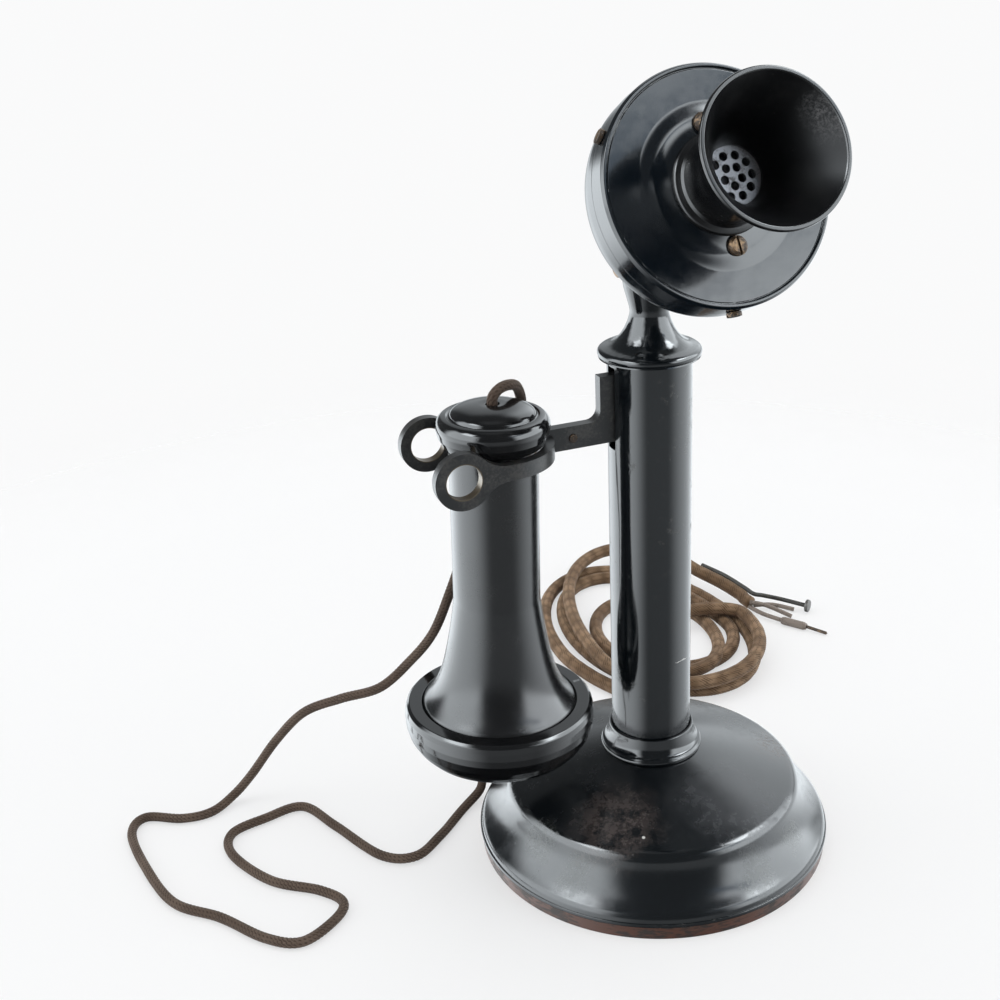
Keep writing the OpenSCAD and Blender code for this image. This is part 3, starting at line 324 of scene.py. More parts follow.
# %% Boxes and wires
class Wiring:
    """A tree of boxes, with one method that adds any box to it."""

    def __init__(self, tree, skin, space, **fixed):
        self.boxes, self.wires, self.skin = tree.nodes, tree.links, tree.nodes[skin]
        self.look(**fixed)
        self.place = self.box("ShaderNodeTexCoord", {}, gives=space)

    def fill(self, socket, value):
        """Gives a socket a wire, a number or a colour."""
        if isinstance(value, Value):
            self.wires.new(value.socket, socket)
        elif socket.type == "VALUE":
            socket.default_value = value
        else:
            room = len(socket.default_value)
            wide = [value] * room if isinstance(value, (int, float)) else list(value)
            socket.default_value = (wide + [1.0])[:room]

    def box(self, kind, settings, *values, gives=None, **named):
        """Adds a box: its settings, then its sockets in order or by name, then what it gives."""
        made = self.boxes.new(kind)
        for key, setting in settings.items():
            setattr(made, key, setting)
        sockets = [s for s in made.inputs if s.enabled]
        for socket, value in zip(sockets, values):
            self.fill(socket, value)
        for word, value in named.items():
            self.fill(next(s for s in sockets if s.name == word.replace("_", " ")), value)
        return Value(self, made.outputs[gives] if gives else next(s for s in made.outputs if s.enabled))

    def look(self, **sockets):
        """Sets the skin's own sockets, to numbers, colours or wires."""
        for word, value in sockets.items():
            self.fill(self.skin.inputs[word.replace("_", " ")], value)

    def ray(self, kind):
        """1 for one kind of ray, and 0 for all others."""
        return self.box("ShaderNodeLightPath", {}, gives=kind)

    def step(self, value, low, high):
        """0 below low, 1 above high, and smooth between them."""
        if low > high:
            return 1.0 - self.step(value, high, low)
        return self.box("ShaderNodeMapRange", {"interpolation_type": "SMOOTHSTEP"},
                        value, low, high, 0.0, 1.0)

    def vector(self, word, *values):
        return self.box("ShaderNodeVectorMath", {"operation": word}, *values)

    def mixed(self, share, a, b, how="MIX"):
        return self.box("ShaderNodeMix", {"data_type": "RGBA", "blend_type": how}, share, a, b)


# %% [markdown]
# A finish is such a tree in a material. It adds short methods for what every
# old surface needs: noise, spots, how far a place is from a point, colour
# laid over colour, and bumps. Its places are in millimetres.

# %% A finish
class Finish(Wiring):
    """A material, and what an old surface needs."""

    def __init__(self, name, **fixed):
        self.material = bpy.data.materials.new(name)
        self.material.use_nodes = True
        super().__init__(self.material.node_tree, "Principled BSDF", "Object", **fixed)
        self.place = self.place * (1 / MM)

    def now(self, word):
        """What already reaches one of the skin's sockets."""
        return Value(self, self.skin.inputs[word].links[0].from_socket)

    def kept(self, name):
        """A number that the mesh keeps for each of its points."""
        return self.box("ShaderNodeAttribute", {"attribute_name": name}, gives="Fac")

    def noise(self, size, detail=3.0, rough=0.55, stretch=(1, 1, 1), seed=0.0):
        """Cloudy noise from 0 to 1, whose lumps are about size millimetres."""
        at = self.place * tuple(s / size for s in stretch) + (seed, seed * 0.7, -seed)
        return self.box("ShaderNodeTexNoise", {}, at, Scale=1.0, Detail=detail, Roughness=rough)

    def spots(self, size, seed):
        """Distance to the nearest of many scattered points, in sizes."""
        at = self.place / size + (seed, -seed, seed * 0.5)
        return self.box("ShaderNodeTexVoronoi", {}, at, Scale=1.0)

    def far_from(self, point):
        """Distance in millimetres from a point."""
        return self.vector("LENGTH", self.place - point)

    def layered(self, colour, *layers):
        """Lays colours over a colour: each layer is its share and its colour."""
        for share, over in layers:
            colour = self.mixed(share, colour, over)
        return colour

    def bumps(self, *heights):
        """Chains bumps: each is a height from 0 to 1 and its depth in millimetres."""
        normal = {}
        for height, depth in heights:
            normal["Normal"] = self.box("ShaderNodeBump", {}, Height=height, Distance=depth * MM,
                                        Strength=1.0, **normal)
        self.look(**normal)


# %% [markdown]
# Old black japan is a baked asphalt lacquer. It is nearly black, a little
# blue, and glossy, but never mirror flat: it has the faint orange peel of a
# brushed and baked coat, hazy patches from handling, specks of dust, and rust
# freckles. Where pieces have been knocked, the edge shows dull grey metal.
# The lathe below keeps a number called edge, which is 1 on outer corners.

# %% Black japan
HAZE, FRECKLE, BARE_EDGE = (0.007, 0.0088, 0.0105), (0.03, 0.02, 0.014), (0.045, 0.043, 0.040)


def japan(name, haze, gloss, wear=0.5, colour=(0.0040, 0.0056, 0.0072)):
    finish = Finish(name, Specular_IOR_Level=0.6)
    broad = finish.noise(26, 4, 0.6, seed=3)
    fine = finish.noise(3.2, 4, 0.65, seed=9)
    dust = finish.step(finish.noise(1.1, 2, 0.5, seed=5), 0.64, 0.78)
    smear = finish.step(broad * 0.7 + fine * 0.3, 0.45, 0.66)
    low = 0.64 - 0.2 * wear
    worn = finish.kept("edge") * finish.step(fine * 0.6 + broad * 0.4, low, low + 0.12)
    freckle = (1.0 - finish.step(finish.spots(9.0, 2), 0.02, 0.06)) * finish.step(broad, 0.52, 0.62)
    body = finish.layered(colour, (smear * 0.3, HAZE), (freckle * 0.5, FRECKLE), (worn * 0.6, BARE_EDGE))
    finish.look(Base_Color=body, Roughness=gloss + smear * haze + dust * 0.03 + worn * 0.2)
    finish.bumps((finish.noise(9.0, 2, 0.5), 0.03), (finish.noise(2.6, 2, 0.5), 0.002),
                 (freckle + worn, -0.015))
    return finish


stem_japan = japan("black_japan_stem", haze=0.08, gloss=0.11)
# The transmitter's lacquer is a bluer black than the stem's: its own black with a painted blue tint that
# stands in for the cool reflections on its face.
cup_japan = japan("black_japan_transmitter", haze=0.08, gloss=0.11, colour=(0.0034, 0.0060, 0.0092))
base_japan = japan("black_japan_base", haze=0.11, gloss=0.18, wear=0.6)
print("a lacquer takes", len(base_japan.boxes), "boxes")

# %% [markdown]
# One short white scratch crosses the front of the stem. Its shape is a
# distance too, from a point to a place that noise makes wander, flattened
# eleven times so that the round spot becomes a line.

# %% The scratch on the stem
SCRATCH_AT, WANDER, FLATTER = (6.3, -13.6, 82.0), 3.0, 11.0
SCRATCH_WHITE = (0.55, 0.55, 0.54)


def scratch_the_stem(finish):
    wander = finish.box("ShaderNodeCombineXYZ", {}, 0.0, 0.0, finish.noise(2.5, 2, 0.5, seed=6) * WANDER)
    off = (finish.place + wander - SCRATCH_AT - (0.0, 0.0, WANDER / 2)) * (1.0, 1.0, FLATTER)
    line = finish.step(finish.vector("LENGTH", off) + finish.noise(0.5, 3, 0.6, seed=2) * 2.0, 5.0, 3.4)
    finish.look(Base_Color=finish.layered(finish.now("Base Color"), (line * 0.8, SCRATCH_WHITE)))


scratch_the_stem(stem_japan)
print("scratch:", SCRATCH_AT[2], "mm above the table")

# %% [markdown]
# The base has had the hardest life. A receiver has been set down on it for
# years, which has rubbed a brown patch into its front, rust has lifted the
# lacquer near the shoulder, and the shoulder's edge is chipped. Dust and a
# dull bloom lie in patches, and one white fleck stuck. Each of these is a mask
# round a place on the base, broken up with noise.

# %% The base's own wear
RUBBED_AT, RUST_AT, CHIPS_AT, DUSTY_AT = (-30, -32, 32), (51, -9, 29), (30, -46, 27.5), (18, -38, 31)
FLECK_AT = (-23.8, -42.4, 30.1)
BLOOM_AT = ((-55, -18, 22), (-48, -36, 17), (36, -50, 19), (14, -61, 17))
DUST, BLOOM, RUBBED = (0.042, 0.044, 0.048), (0.050, 0.053, 0.048), (0.078, 0.062, 0.057)
RUST, CHIP, FLECK = (0.07, 0.042, 0.028), (0.004, 0.004, 0.005), (0.7, 0.7, 0.68)


def wear_the_base(finish):
    grain = finish.noise(1.6, 5, 0.7, seed=21)
    cloud = finish.noise(9, 4, 0.6, seed=14)

    def patch(place, ragged, outside, inside):
        return finish.step(finish.far_from(place) + ragged, outside, inside)

    rubbed = (patch(RUBBED_AT, cloud * 34.0, 38.0, 22.0)
              * finish.step(grain * 0.4 + cloud * 0.6, 0.36, 0.56))
    bloom = 0.0
    for place in BLOOM_AT:
        bloom = patch(place, cloud * 16.0, 19.0, 11.0) + bloom
    bloom = bloom * finish.step(grain, 0.36, 0.58)
    rust = patch(RUST_AT, cloud * 24.0, 30.0, 14.0) * finish.step(grain, 0.42, 0.66)
    chips = patch(CHIPS_AT, grain * 20.0, 24.0, 17.0) * finish.kept("edge")
    fleck = patch(FLECK_AT, 0.0, 0.75, 0.45)
    dusty = patch(DUSTY_AT, cloud * 26.0, 46.0, 18.0)
    body = finish.layered(finish.now("Base Color"), (dusty * 0.7, DUST), (bloom * 0.5, BLOOM),
                          (rubbed * 0.85, RUBBED), (rust * 0.6, RUST), (chips * 0.9, CHIP), (fleck, FLECK))
    rough = (finish.now("Roughness") + rubbed * 0.15 + bloom * 0.12 + rust * 0.2 + chips * 0.3
             - finish.kept("edge") * 0.08)
    finish.look(Base_Color=body, Roughness=rough)


wear_the_base(base_japan)
print("a worn lacquer takes", len(base_japan.boxes), "boxes")

# %% [markdown]
# Hard rubber is softer looking than lacquer: a satin black whose surface has
# gone very slightly brown and cloudy with age, rubbed brighter on its edges.

# %% Hard rubber
CLOUDED, PITTED = (0.0105, 0.0102, 0.0100), (0.03, 0.028, 0.025)


def hard_rubber(name, gloss, bloom, colour=(0.0048, 0.0051, 0.0058), mirror=0.55):
    finish = Finish(name, Specular_IOR_Level=mirror)
    cloud = finish.noise(17, 4, 0.6, seed=31)
    fine = finish.noise(1.4, 4, 0.6, seed=12)
    haze = finish.step(cloud * 0.75 + fine * 0.25, 0.44, 0.68)
    rubbed = finish.kept("edge") * finish.step(fine, 0.35, 0.6)
    pits = 1.0 - finish.step(finish.spots(4.3, 7), 0.03, 0.08)
    finish.look(Base_Color=finish.layered(colour, (haze * 0.4, CLOUDED), (pits * 0.35, PITTED)),
                Roughness=gloss + haze * bloom - rubbed * 0.05)
    finish.bumps((fine, 0.002), (pits, -0.008))
    return finish


receiver_rubber = hard_rubber("hard_rubber_receiver", gloss=0.21, bloom=0.08)
cap_rubber = hard_rubber("hard_rubber_caps", gloss=0.10, bloom=0.08)
mouth_rubber = hard_rubber("hard_rubber_mouthpiece", gloss=0.2, bloom=0.08, colour=(0.0034, 0.0036, 0.0042))
bell_rubber = hard_rubber("hard_rubber_bell", gloss=0.34, bloom=0.1, colour=(0.0030, 0.0032, 0.0037),
                          mirror=0.17)
print("a hard rubber takes", len(bell_rubber.boxes), "boxes")

# %% [markdown]
# Inside its bell the mouthpiece is duller. On the bell's right side, near the
# lip, a grey patch is painted reflection of the light that side catches.

# %% The painted reflection in the mouthpiece
# Where the painted reflection lies inside the bell, and its grey.
PAINTED_REFLECTION_AT, PAINTED_REFLECTION_GREY = (21.0, -75.0, 288.0), (0.20, 0.20, 0.205)


def paint_reflection_in_bell(finish):
    # A rougher patch inside the bell, whose grey is painted reflection.
    painted_reflection = (finish.step(finish.far_from(PAINTED_REFLECTION_AT) + finish.noise(5, 3, seed=4) * 9.0, 15.0, 5.0)
             * finish.step(finish.noise(0.9, 5, 0.75, seed=41), 0.40, 0.62))
    finish.look(Base_Color=finish.layered(finish.now("Base Color"), (painted_reflection * 0.75, PAINTED_REFLECTION_GREY)),
                Roughness=finish.now("Roughness") + painted_reflection * 0.2)


paint_reflection_in_bell(bell_rubber)
print("scuff:", PAINTED_REFLECTION_AT[2], "mm above the table")

# %% [markdown]
# The hook is a black iron casting, duller than the lacquer and slightly
# grainy. The eyes at the ends of its prongs are where fingers and the
# receiver rub, so their bores show a line of brassy metal.

# %% Hook iron
EYE_X, EYE_Z, EYE_R = -77.3, 172.3, 6.2
IRON, IRON_PALE, IRON_RUBBED = (0.0075, 0.008, 0.0085), (0.0135, 0.0135, 0.014), (0.06, 0.057, 0.053)
BORE = (0.20, 0.155, 0.10)


def hook_iron():
    finish = Finish("hook_iron")
    grain = finish.noise(0.8, 4, 0.65, seed=17)
    cloud = finish.noise(11, 3, seed=6)
    from_eye = finish.vector("LENGTH", finish.place * (1.0, 0.0, 1.0) - (EYE_X, 0.0, EYE_Z))
    bore = finish.step(from_eye + grain * 0.5, EYE_R + 0.7, EYE_R + 0.35)
    rubbed = finish.kept("edge") * finish.step(grain * 0.5 + cloud * 0.5, 0.46, 0.62)
    body = finish.layered(IRON, (finish.step(cloud, 0.4, 0.65), IRON_PALE), (rubbed * 0.5, IRON_RUBBED),
                          (bore * 0.55, BORE))
    finish.look(Base_Color=body, Roughness=0.3 + grain * 0.14 - bore * 0.05, Metallic=bore * 0.6)
    finish.bumps((grain, 0.012), (cloud, 0.03))
    return finish


iron = hook_iron()
print("each eye's bore is", 2 * EYE_R, "mm wide")

# %% [markdown]
# The small metal and the fibre are told apart by a few numbers each: a clean
# colour, a grime colour that lies over it in patches, how metallic and how
# rough they are, and the size of their grain. One recipe therefore serves brass,
# steel, aluminium and the rest, and each still gets its own character.

# %% Metals, fibre and felt
def grained(name, clean, grime, metal, rough, size, depth, cover=0.5, stretch=(1, 1, 1)):
    finish = Finish(name)
    grain = finish.noise(size, 4, 0.65, stretch, seed=11)
    cloud = finish.noise(size * 7, 3, seed=23)
    low = 0.68 - cover * 0.35
    dirt = finish.step(grain * 0.5 + cloud * 0.5, low, low + 0.12)
    finish.look(Base_Color=finish.mixed(dirt, clean, grime), Roughness=rough + dirt * 0.22,
                Metallic=metal - dirt * metal * 0.6 if metal else 0.0)
    finish.bumps((grain, depth))
    return finish


# clean colour, grime, metallic, rough, grain and bump in mm, then how much grime and any stretch
brass = grained("aged_brass", (0.16, 0.105, 0.062), (0.035, 0.024, 0.017), 0.9, 0.38, 0.7, 0.02, 0.8)
steel = grained("bright_steel", (0.45, 0.45, 0.46), (0.12, 0.10, 0.08), 1.0, 0.3, 0.6, 0.01, 0.4)
grille_grey = grained("grille_steel", (0.21, 0.215, 0.23), (0.10, 0.10, 0.105), 0.75, 0.42, 0.5,
                      0.015, 0.5)
magnet = grained("magnet_iron", (0.10, 0.095, 0.09), (0.05, 0.035, 0.025), 0.6, 0.5, 1.2, 0.03)
sheet_metal = grained("aluminium_sheet", (0.68, 0.69, 0.70), (0.45, 0.45, 0.45), 1.0, 0.32, 0.5, 0.006)
fibre = grained("red_fibre", (0.085, 0.034, 0.021), (0.022, 0.015, 0.012), 0.0, 0.4, 1.5, 0.03, 0.65,
                (0.35, 0.35, 1.6))
felt = grained("felt", (0.045, 0.04, 0.034), (0.02, 0.018, 0.016), 0.0, 0.95, 0.35, 0.12, 0.6)
soft_rubber = grained("soft_rubber", (0.014, 0.013, 0.012), (0.028, 0.026, 0.023), 0.0, 0.55, 1.1, 0.02)
enamel = grained("enamelled_wire", (0.22, 0.07, 0.03), (0.10, 0.03, 0.015), 0.5, 0.3, 0.35, 0.05, 0.4,
                 (0.15, 0.15, 1))
cover_black = grained("wire_cover_black", (0.02, 0.018, 0.015), (0.045, 0.04, 0.03), 0.0, 0.6, 0.5, 0.03)
cover_grey = grained("wire_cover_grey", (0.20, 0.165, 0.14), (0.10, 0.085, 0.07), 0.0, 0.6, 0.6, 0.03)
print("small metal takes", len(brass.boxes), "boxes")

# %% [markdown]
# Braid reads as rows of yarn first and as colour second. The tube already
# kept how high each point of the weave lies, so painted shade darkens the
# gaps from that, and a very fine noise stands for the cotton's fibres.
# Larger clouds give the faded and the dirty lengths of an old cord.

# %% Braided cotton
def braid(name, yarn, faded, gap_shade):
    finish = Finish(name, Specular_IOR_Level=0.2, Sheen_Weight=0.1, Sheen_Roughness=0.5)
    weave = finish.kept("weave")
    cotton = finish.noise(0.28, 3, 0.7, seed=8)
    cloud = finish.noise(22, 4, 0.6, seed=19)
    # Where the weave dips between yarns, the gap colour is painted shade.
    body = finish.layered(yarn, (finish.step(cloud, 0.38, 0.62), faded),
                          (finish.step(weave + cotton * 0.5, 0.75, 0.2) * 0.8, gap_shade), (cotton * 0.35, faded))
    finish.look(Base_Color=body, Roughness=0.85 - weave * 0.1)
    finish.bumps((weave, 0.1), (cotton, 0.06))
    return finish


def coat(piece, finish):
    piece.data.materials.clear()
    piece.data.materials.append(finish.material)


# The last colour of each braid is the painted shade in its gaps.
receiver_braid = braid("receiver_braid", (0.080, 0.055, 0.041), (0.124, 0.090, 0.069), (0.022, 0.014, 0.010))
desk_braid = braid("desk_braid", (0.120, 0.071, 0.038), (0.27, 0.178, 0.108), (0.036, 0.021, 0.012))
for piece in receiver_cords.values():
    coat(piece, receiver_braid)
coat(desk_cord, desk_braid)
print("materials in the file:", len(bpy.data.materials))

# %% [markdown]
# Nearly every large piece of this telephone was spun, turned or moulded
# round, so one lathe makes them all. It takes the outline of half a section,
# in millimetres, walking up the outside and back down the inside. The round
# stretches of an outline come from three curves.

# %% Curves for an outline
def oval(centre, wide, high, start, end, steps=10):
    """Points round a part of an oval, with the angles in degrees."""
    turns = [math.radians(start + (end - start) * k / steps) for k in range(steps + 1)]
    return [(centre[0] + wide * math.cos(a), centre[1] + high * math.sin(a)) for a in turns]


def arc(centre, radius, start, end, steps=10):
    return oval(centre, radius, radius, start, end, steps)


def cove(low, high, steps=20, power=0.85):
    """A hollow curve that leaves low level and arrives at high upright."""
    turns = [math.pi / 2 * k / steps for k in range(steps + 1)]
    return [(high[0] + (low[0] - high[0]) * max(0.0, 1 - math.sin(a)) ** power,
             low[1] + (high[1] - low[1]) * (1 - math.cos(a))) for a in turns]


def raised_by(height, outline):
    return [(r, z + height, *rest) for r, z, *rest in outline]


print("a quarter circle in", len(arc((0, 0), 1, 0, 90)), "points")

# %% [markdown]
# A corner of an outline may carry a third number, the radius that it is
# rounded to: sharp corners never catch the light, and real ones always do.

# %% Rounded corners
SIDE_SHARE = 0.45     # a rounding takes less than half of the sides beside it
HOLD = 0.6            # a point this far outside it, or less by a small one, keeps the sides flat
CORNER_STEP = 12      # degrees of turn for each step of a rounding
SMALL_CORNER = 2      # only corners this small or smaller wear as edges


def eased(outline, closed):
    """Rounds the corners that carry a radius. Gives the points and which are outer edges."""
    done, edges, n = [], [], len(outline)
    for i, corner in enumerate(outline):
        at = Vector(corner[:2])
        radius = corner[2] if len(corner) > 2 else 0
        if not radius or (not closed and i in (0, n - 1)):
            done.append(tuple(at))
            edges.append(0.0)
            continue
        back = Vector(outline[i - 1][:2]) - at
        on = Vector(outline[(i + 1) % n][:2]) - at
        half = back.angle(on) / 2
        reach = min(radius / math.tan(half), SIDE_SHARE * back.length, SIDE_SHARE * on.length)
        true_radius = reach * math.tan(half)
        worn = 1.0 if back.x * on.y - back.y * on.x < 0 and radius <= SMALL_CORNER else 0.0
        back.normalize()
        on.normalize()
        middle = at + (back + on).normalized() * (true_radius / math.sin(half))
        first, last = at + back * reach - middle, at + on * reach - middle
        hold = HOLD * min(1.0, reach)
        steps = max(4, round((180 - math.degrees(2 * half)) / CORNER_STEP))
        rays = [(first * (1 - k / steps) + last * (k / steps)).normalized() for k in range(steps + 1)]
        done += [tuple(at + back * (reach + hold)), *(tuple(middle + ray * true_radius) for ray in rays),
                 tuple(at + on * (reach + hold))]
        edges += [0.0, *(worn for ray in rays), 0.0]
    return done, edges


print("a rounded corner in", len(eased([(1, 0), (2, 0, 0.2), (2, 1)], False)[0]) - 2, "points")

# %% [markdown]
# The lathe spins the outline into rings and joins them. Each piece then gets
# its finish, the body that it rides on and the solid nodes it stands for.

# %% The lathe
ON_AXIS = 1e-6
EVEN_WEIGHT = 60


def finished(made, finish, body, nodes):
    """Coats a piece. It rides on a body and stands for solid nodes."""
    coat(made, finish)
    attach(made, body)
    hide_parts(*nodes)
    return made


def shaded_evenly(made):
    made.modifiers.new("even_shading", "WEIGHTED_NORMAL").weight = EVEN_WEIGHT


def turned(name, outline, finish, body, nodes, place=Matrix.Identity(4), around=192):
    """Spins an outline about the upward axis of its place."""
    closed = outline[0][0] > ON_AXIS
    outline, edges = eased(outline, closed)
    points, kept, rings, faces = [], [], [], []
    for (r, z), edge in zip(outline, edges):
        count = around if r > ON_AXIS else 1
        rings.append((len(points), count))
        points += [(r * math.cos(2 * math.pi * k / around), r * math.sin(2 * math.pi * k / around), z)
                   for k in range(count)]
        kept += [edge] * count
    pairs = list(zip(rings, rings[1:])) + ([(rings[-1], rings[0])] if closed else [])
    for (a, many_a), (b, many_b) in pairs:
        for k in range(around):
            j = (k + 1) % around
            face = [a + k % many_a, a + j % many_a, b + j % many_b, b + k % many_b]
            faces.append(list(dict.fromkeys(face)))
    made = new_mesh(name, [place @ Vector(p) for p in points], faces)
    keep_number(made, "edge", kept)
    shaded_evenly(made)
    return finished(made, finish, body, nodes)


# %% [markdown]
# The base is a shell of spun steel: a lip, a rounded bulge, a wide sweeping
# cove, a soft shoulder, and a shallow cone up to the stem. The three curves
# touch each other smoothly, so each centre is found from the one before.

# %% The base's outline
BASE_R, SKIRT_R, RING_H, LIP_Z = 68.5, 68.0, 5.5, 7.0
BULGE_R, COVE_R, SHOULDER_R, BULGE_TURN, COVE_TURN = 4.4, 26.0, 5.4, 52, 14
SEAT_R, SEAT_BORE_R, BASE_TOP, BASE_WALL = 19.6, 13.0, 40.5, 2.0


def out_from(centre, reach, degrees):
    """The point at a distance and an angle from a centre."""
    return arc(centre, reach, degrees, degrees, 1)[0]


BULGE_AT = (SKIRT_R - BULGE_R, LIP_Z)
COVE_AT = out_from(BULGE_AT, BULGE_R + COVE_R, BULGE_TURN)
SHOULDER_AT = out_from(COVE_AT, -COVE_R - SHOULDER_R, COVE_TURN)
CONE_RUN, CONE_RISE = SHOULDER_AT[0] - SEAT_R, BASE_TOP - SHOULDER_AT[1]
SLOPE = math.degrees(math.atan2(CONE_RISE, CONE_RUN)
                     - math.asin(SHOULDER_R / math.hypot(CONE_RUN, CONE_RISE)))


def base_side(w):
    """The base's outline, set in by w."""
    return (arc(BULGE_AT, BULGE_R - w, 0, BULGE_TURN)
            + arc(COVE_AT, COVE_R + w, 180 + BULGE_TURN, 180 + COVE_TURN, 16)[1:]
            + arc(SHOULDER_AT, SHOULDER_R - w, COVE_TURN, 90 - SLOPE, 12)[1:]
            + [(SEAT_R, BASE_TOP - w), (SEAT_BORE_R, BASE_TOP - w)])


print("the cone slopes", round(SLOPE, 1), "degrees")

# %% [markdown]
# The shoulder is too soft to be marked as an edge by the lathe, yet it is
# where a hand wears the lacquer, so its rounding is marked here. Under the
# lip a ring of red vulcanised fibre keeps the steel off the table.

# %% The base
WORN_LEAN, WORN_SPREAD = 50, 24      # degrees of the shoulder's rounding
ON_SHOULDER = 0.2
RING_BORE_R, RING_SEAT_R, RING_R, RING_FLOOR = 57.8, 62.9, 67.9, 3.0

base = turned("base_body", [(SKIRT_R - BASE_WALL, RING_H), (BASE_R, RING_H, 0.3), (BASE_R, LIP_Z, 0.4)]
              + base_side(0) + base_side(BASE_WALL)[::-1],
              base_japan, "stand", ["base_shell"], around=256)
for vertex, mark in zip(base.data.vertices, base.data.attributes["edge"].data):
    out = Vector((math.hypot(*vertex.co[:2]), vertex.co.z)) / MM - Vector(SHOULDER_AT)
    if out.y > 0 and abs(out.length - SHOULDER_R) < ON_SHOULDER:
        lean = math.degrees(math.atan2(out.y, out.x))
        mark.value = max(0.0, 1 - abs(lean - WORN_LEAN) / WORN_SPREAD)
turned("fibre_ring", [(RING_BORE_R, 0, 0.3), (RING_R - 0.1, 0, 0.6), (RING_R, RING_H, 0.25),
                      (RING_SEAT_R, RING_H), (RING_SEAT_R, RING_FLOOR), (RING_BORE_R, RING_FLOOR, 0.3)],
       fibre, "stand", ["base_ring"], around=256)
print("base:", len(base.data.vertices), "points")

# %% [markdown]
# The stem's foot is a small turned flange with a bead and a hollow curve. Its
# spigot goes down into the base.

# %% The stem's foot
FOOT_R, FOOT_H, FOOT_BEAD, TUBE_R = 19.4, 9.8, 1.2, 15.0
SPIGOT_R, FOOT_BORE_R, SPIGOT_DEEP = 12, 10, 8
foot = ([(SPIGOT_R, -SPIGOT_DEEP), (SPIGOT_R, 0), (FOOT_R - 1, 0, 0.3)]
        + arc((FOOT_R - FOOT_BEAD, 1.4), FOOT_BEAD, -60, 60, 12)
        + cove((FOOT_R - 0.6, 3), (TUBE_R + 1.1, FOOT_H))[:-1] + [(TUBE_R + 1.0, FOOT_H, 0.3)]
        + [(TUBE_R + 0.1, FOOT_H), (TUBE_R + 0.1, 2), (FOOT_BORE_R, 2), (FOOT_BORE_R, -SPIGOT_DEEP)])
turned("stem_foot_flange", raised_by(BASE_TOP, foot), stem_japan, "stand", ["stem_foot"])
print("stem's foot:", 2 * FOOT_R, "mm wide")

# %% [markdown]
# Pieces that aren't round all the way keep the solid model's shape, which is
# exact but has edges no maker would leave. A copy of each is cleaned: flat
# regions are merged, every sharp edge is cut back a fraction of a
# millimetre, and the new narrow faces are remembered as edges for the finish.

# %% Easing the edges of a solid
SHARP = 32            # degrees between faces, from which an edge counts as sharp
FLAT = 0.6            # degrees between faces that are merged
SAME_PLACE = 2e-6     # metres between corners that are joined
NARROW = 360          # a cut's own face is smaller than this many squares of its width


def eased_copy(name, node, finish, body, width=0.25, steps=2):
    """A copy of a solid node with its sharp edges rounded."""
    mesh = bmesh.new()
    mesh.from_mesh(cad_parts[node].data)
    bmesh.ops.remove_doubles(mesh, verts=mesh.verts, dist=SAME_PLACE)
    bmesh.ops.dissolve_limit(mesh, angle_limit=math.radians(FLAT), verts=mesh.verts, edges=mesh.edges)
    hard = [e for e in mesh.edges if len(e.link_faces) == 2
            and math.degrees(e.calc_face_angle(0.0)) > SHARP]
    old = set(mesh.faces)
    bmesh.ops.bevel(mesh, geom=hard, offset=width * MM, segments=steps, profile=0.5,
                    affect="EDGES", clamp_overlap=True)
    edge = mesh.verts.layers.float.new("edge")
    for face in mesh.faces:
        face.smooth = True
    for vert in mesh.verts:
        vert[edge] = float(any(face not in old and face.calc_area() < NARROW * (width * MM) ** 2
                               for face in vert.link_faces))
    made = bpy.data.objects.new(name, bpy.data.meshes.new(name))
    mesh.to_mesh(made.data)
    mesh.free()
    bpy.context.scene.collection.objects.link(made)
    shaded_evenly(made)
    return finished(made, finish, body, [node])


# %% [markdown]
# The stem is a plain drawn tube with a slot for the hook. The cap on it
# flares in from a rounded collar to a narrow neck, and ends in a fork that
# the transmitter's lug tilts in.

# %% The stem
eased_copy("stem_tube_body", "stem_tube", stem_japan, "stand", 0.15)
eased_copy("stem_cap_body", "stem_cap", stem_japan, "stand", 0.3, 3)
eased_copy("tilt_screw_body", "tilt_screw", brass, "stand", 0.3, 3)
eased_copy("tilt_nut_body", "tilt_nut", brass, "stand")
eased_copy("bracket_screw_body", "bracket_screw", brass, "stand")
print("stem:", 2 * TUBE_R, "mm wide")

# %% [markdown]
# The hook is a lever: a tall upright in the stem's slot, an arm, and a fork
# that carries the receiver. Each prong ends in an eye.

# %% The hook
hook = eased_copy("hook_body", "hook_lever", iron, "hook", 0.55, 3)
eased_copy("hook_rivet_head", "hook_rivet", brass, "hook")
print("hook:", len(hook.data.polygons), "faces")

# %% [markdown]
# The transmitter is a spun cup closed by a faceplate. Both are turned about
# an axis that is tilted up a little, and the cup is a half oval at the back.

# %% The transmitter's cup
PIVOT_Z, TILT_UP, AXIS_RISE, FACE_OUT = 232.0, 25.5, 10.5, 53.5
RIM_R, FACE_T, FACE_RIM_H, CUP_DEPTH, CUP_BAND, CUP_WALL = 38.0, 1.6, 8.5, 35.0, 3.5, 1.6
at_transmitter = (Matrix.Translation((0, 0, PIVOT_Z + AXIS_RISE))
                  @ Matrix.Rotation(math.radians(90 - TILT_UP), 4, "X"))
CUP_R, CUP_FRONT, CUP_BACK = RIM_R - 0.2, FACE_OUT - FACE_RIM_H - 0.2, FACE_OUT - CUP_DEPTH
BOWL_H = CUP_FRONT - CUP_BAND - CUP_BACK
COLLAR_R, COLLAR_TOP = RIM_R - FACE_T - 0.1, FACE_OUT - 5.6


def cup_side(w):
    """The cup's half oval, set in by w."""
    return oval((0, CUP_BACK + BOWL_H), CUP_R - w, BOWL_H - w, -90, 0, 28)


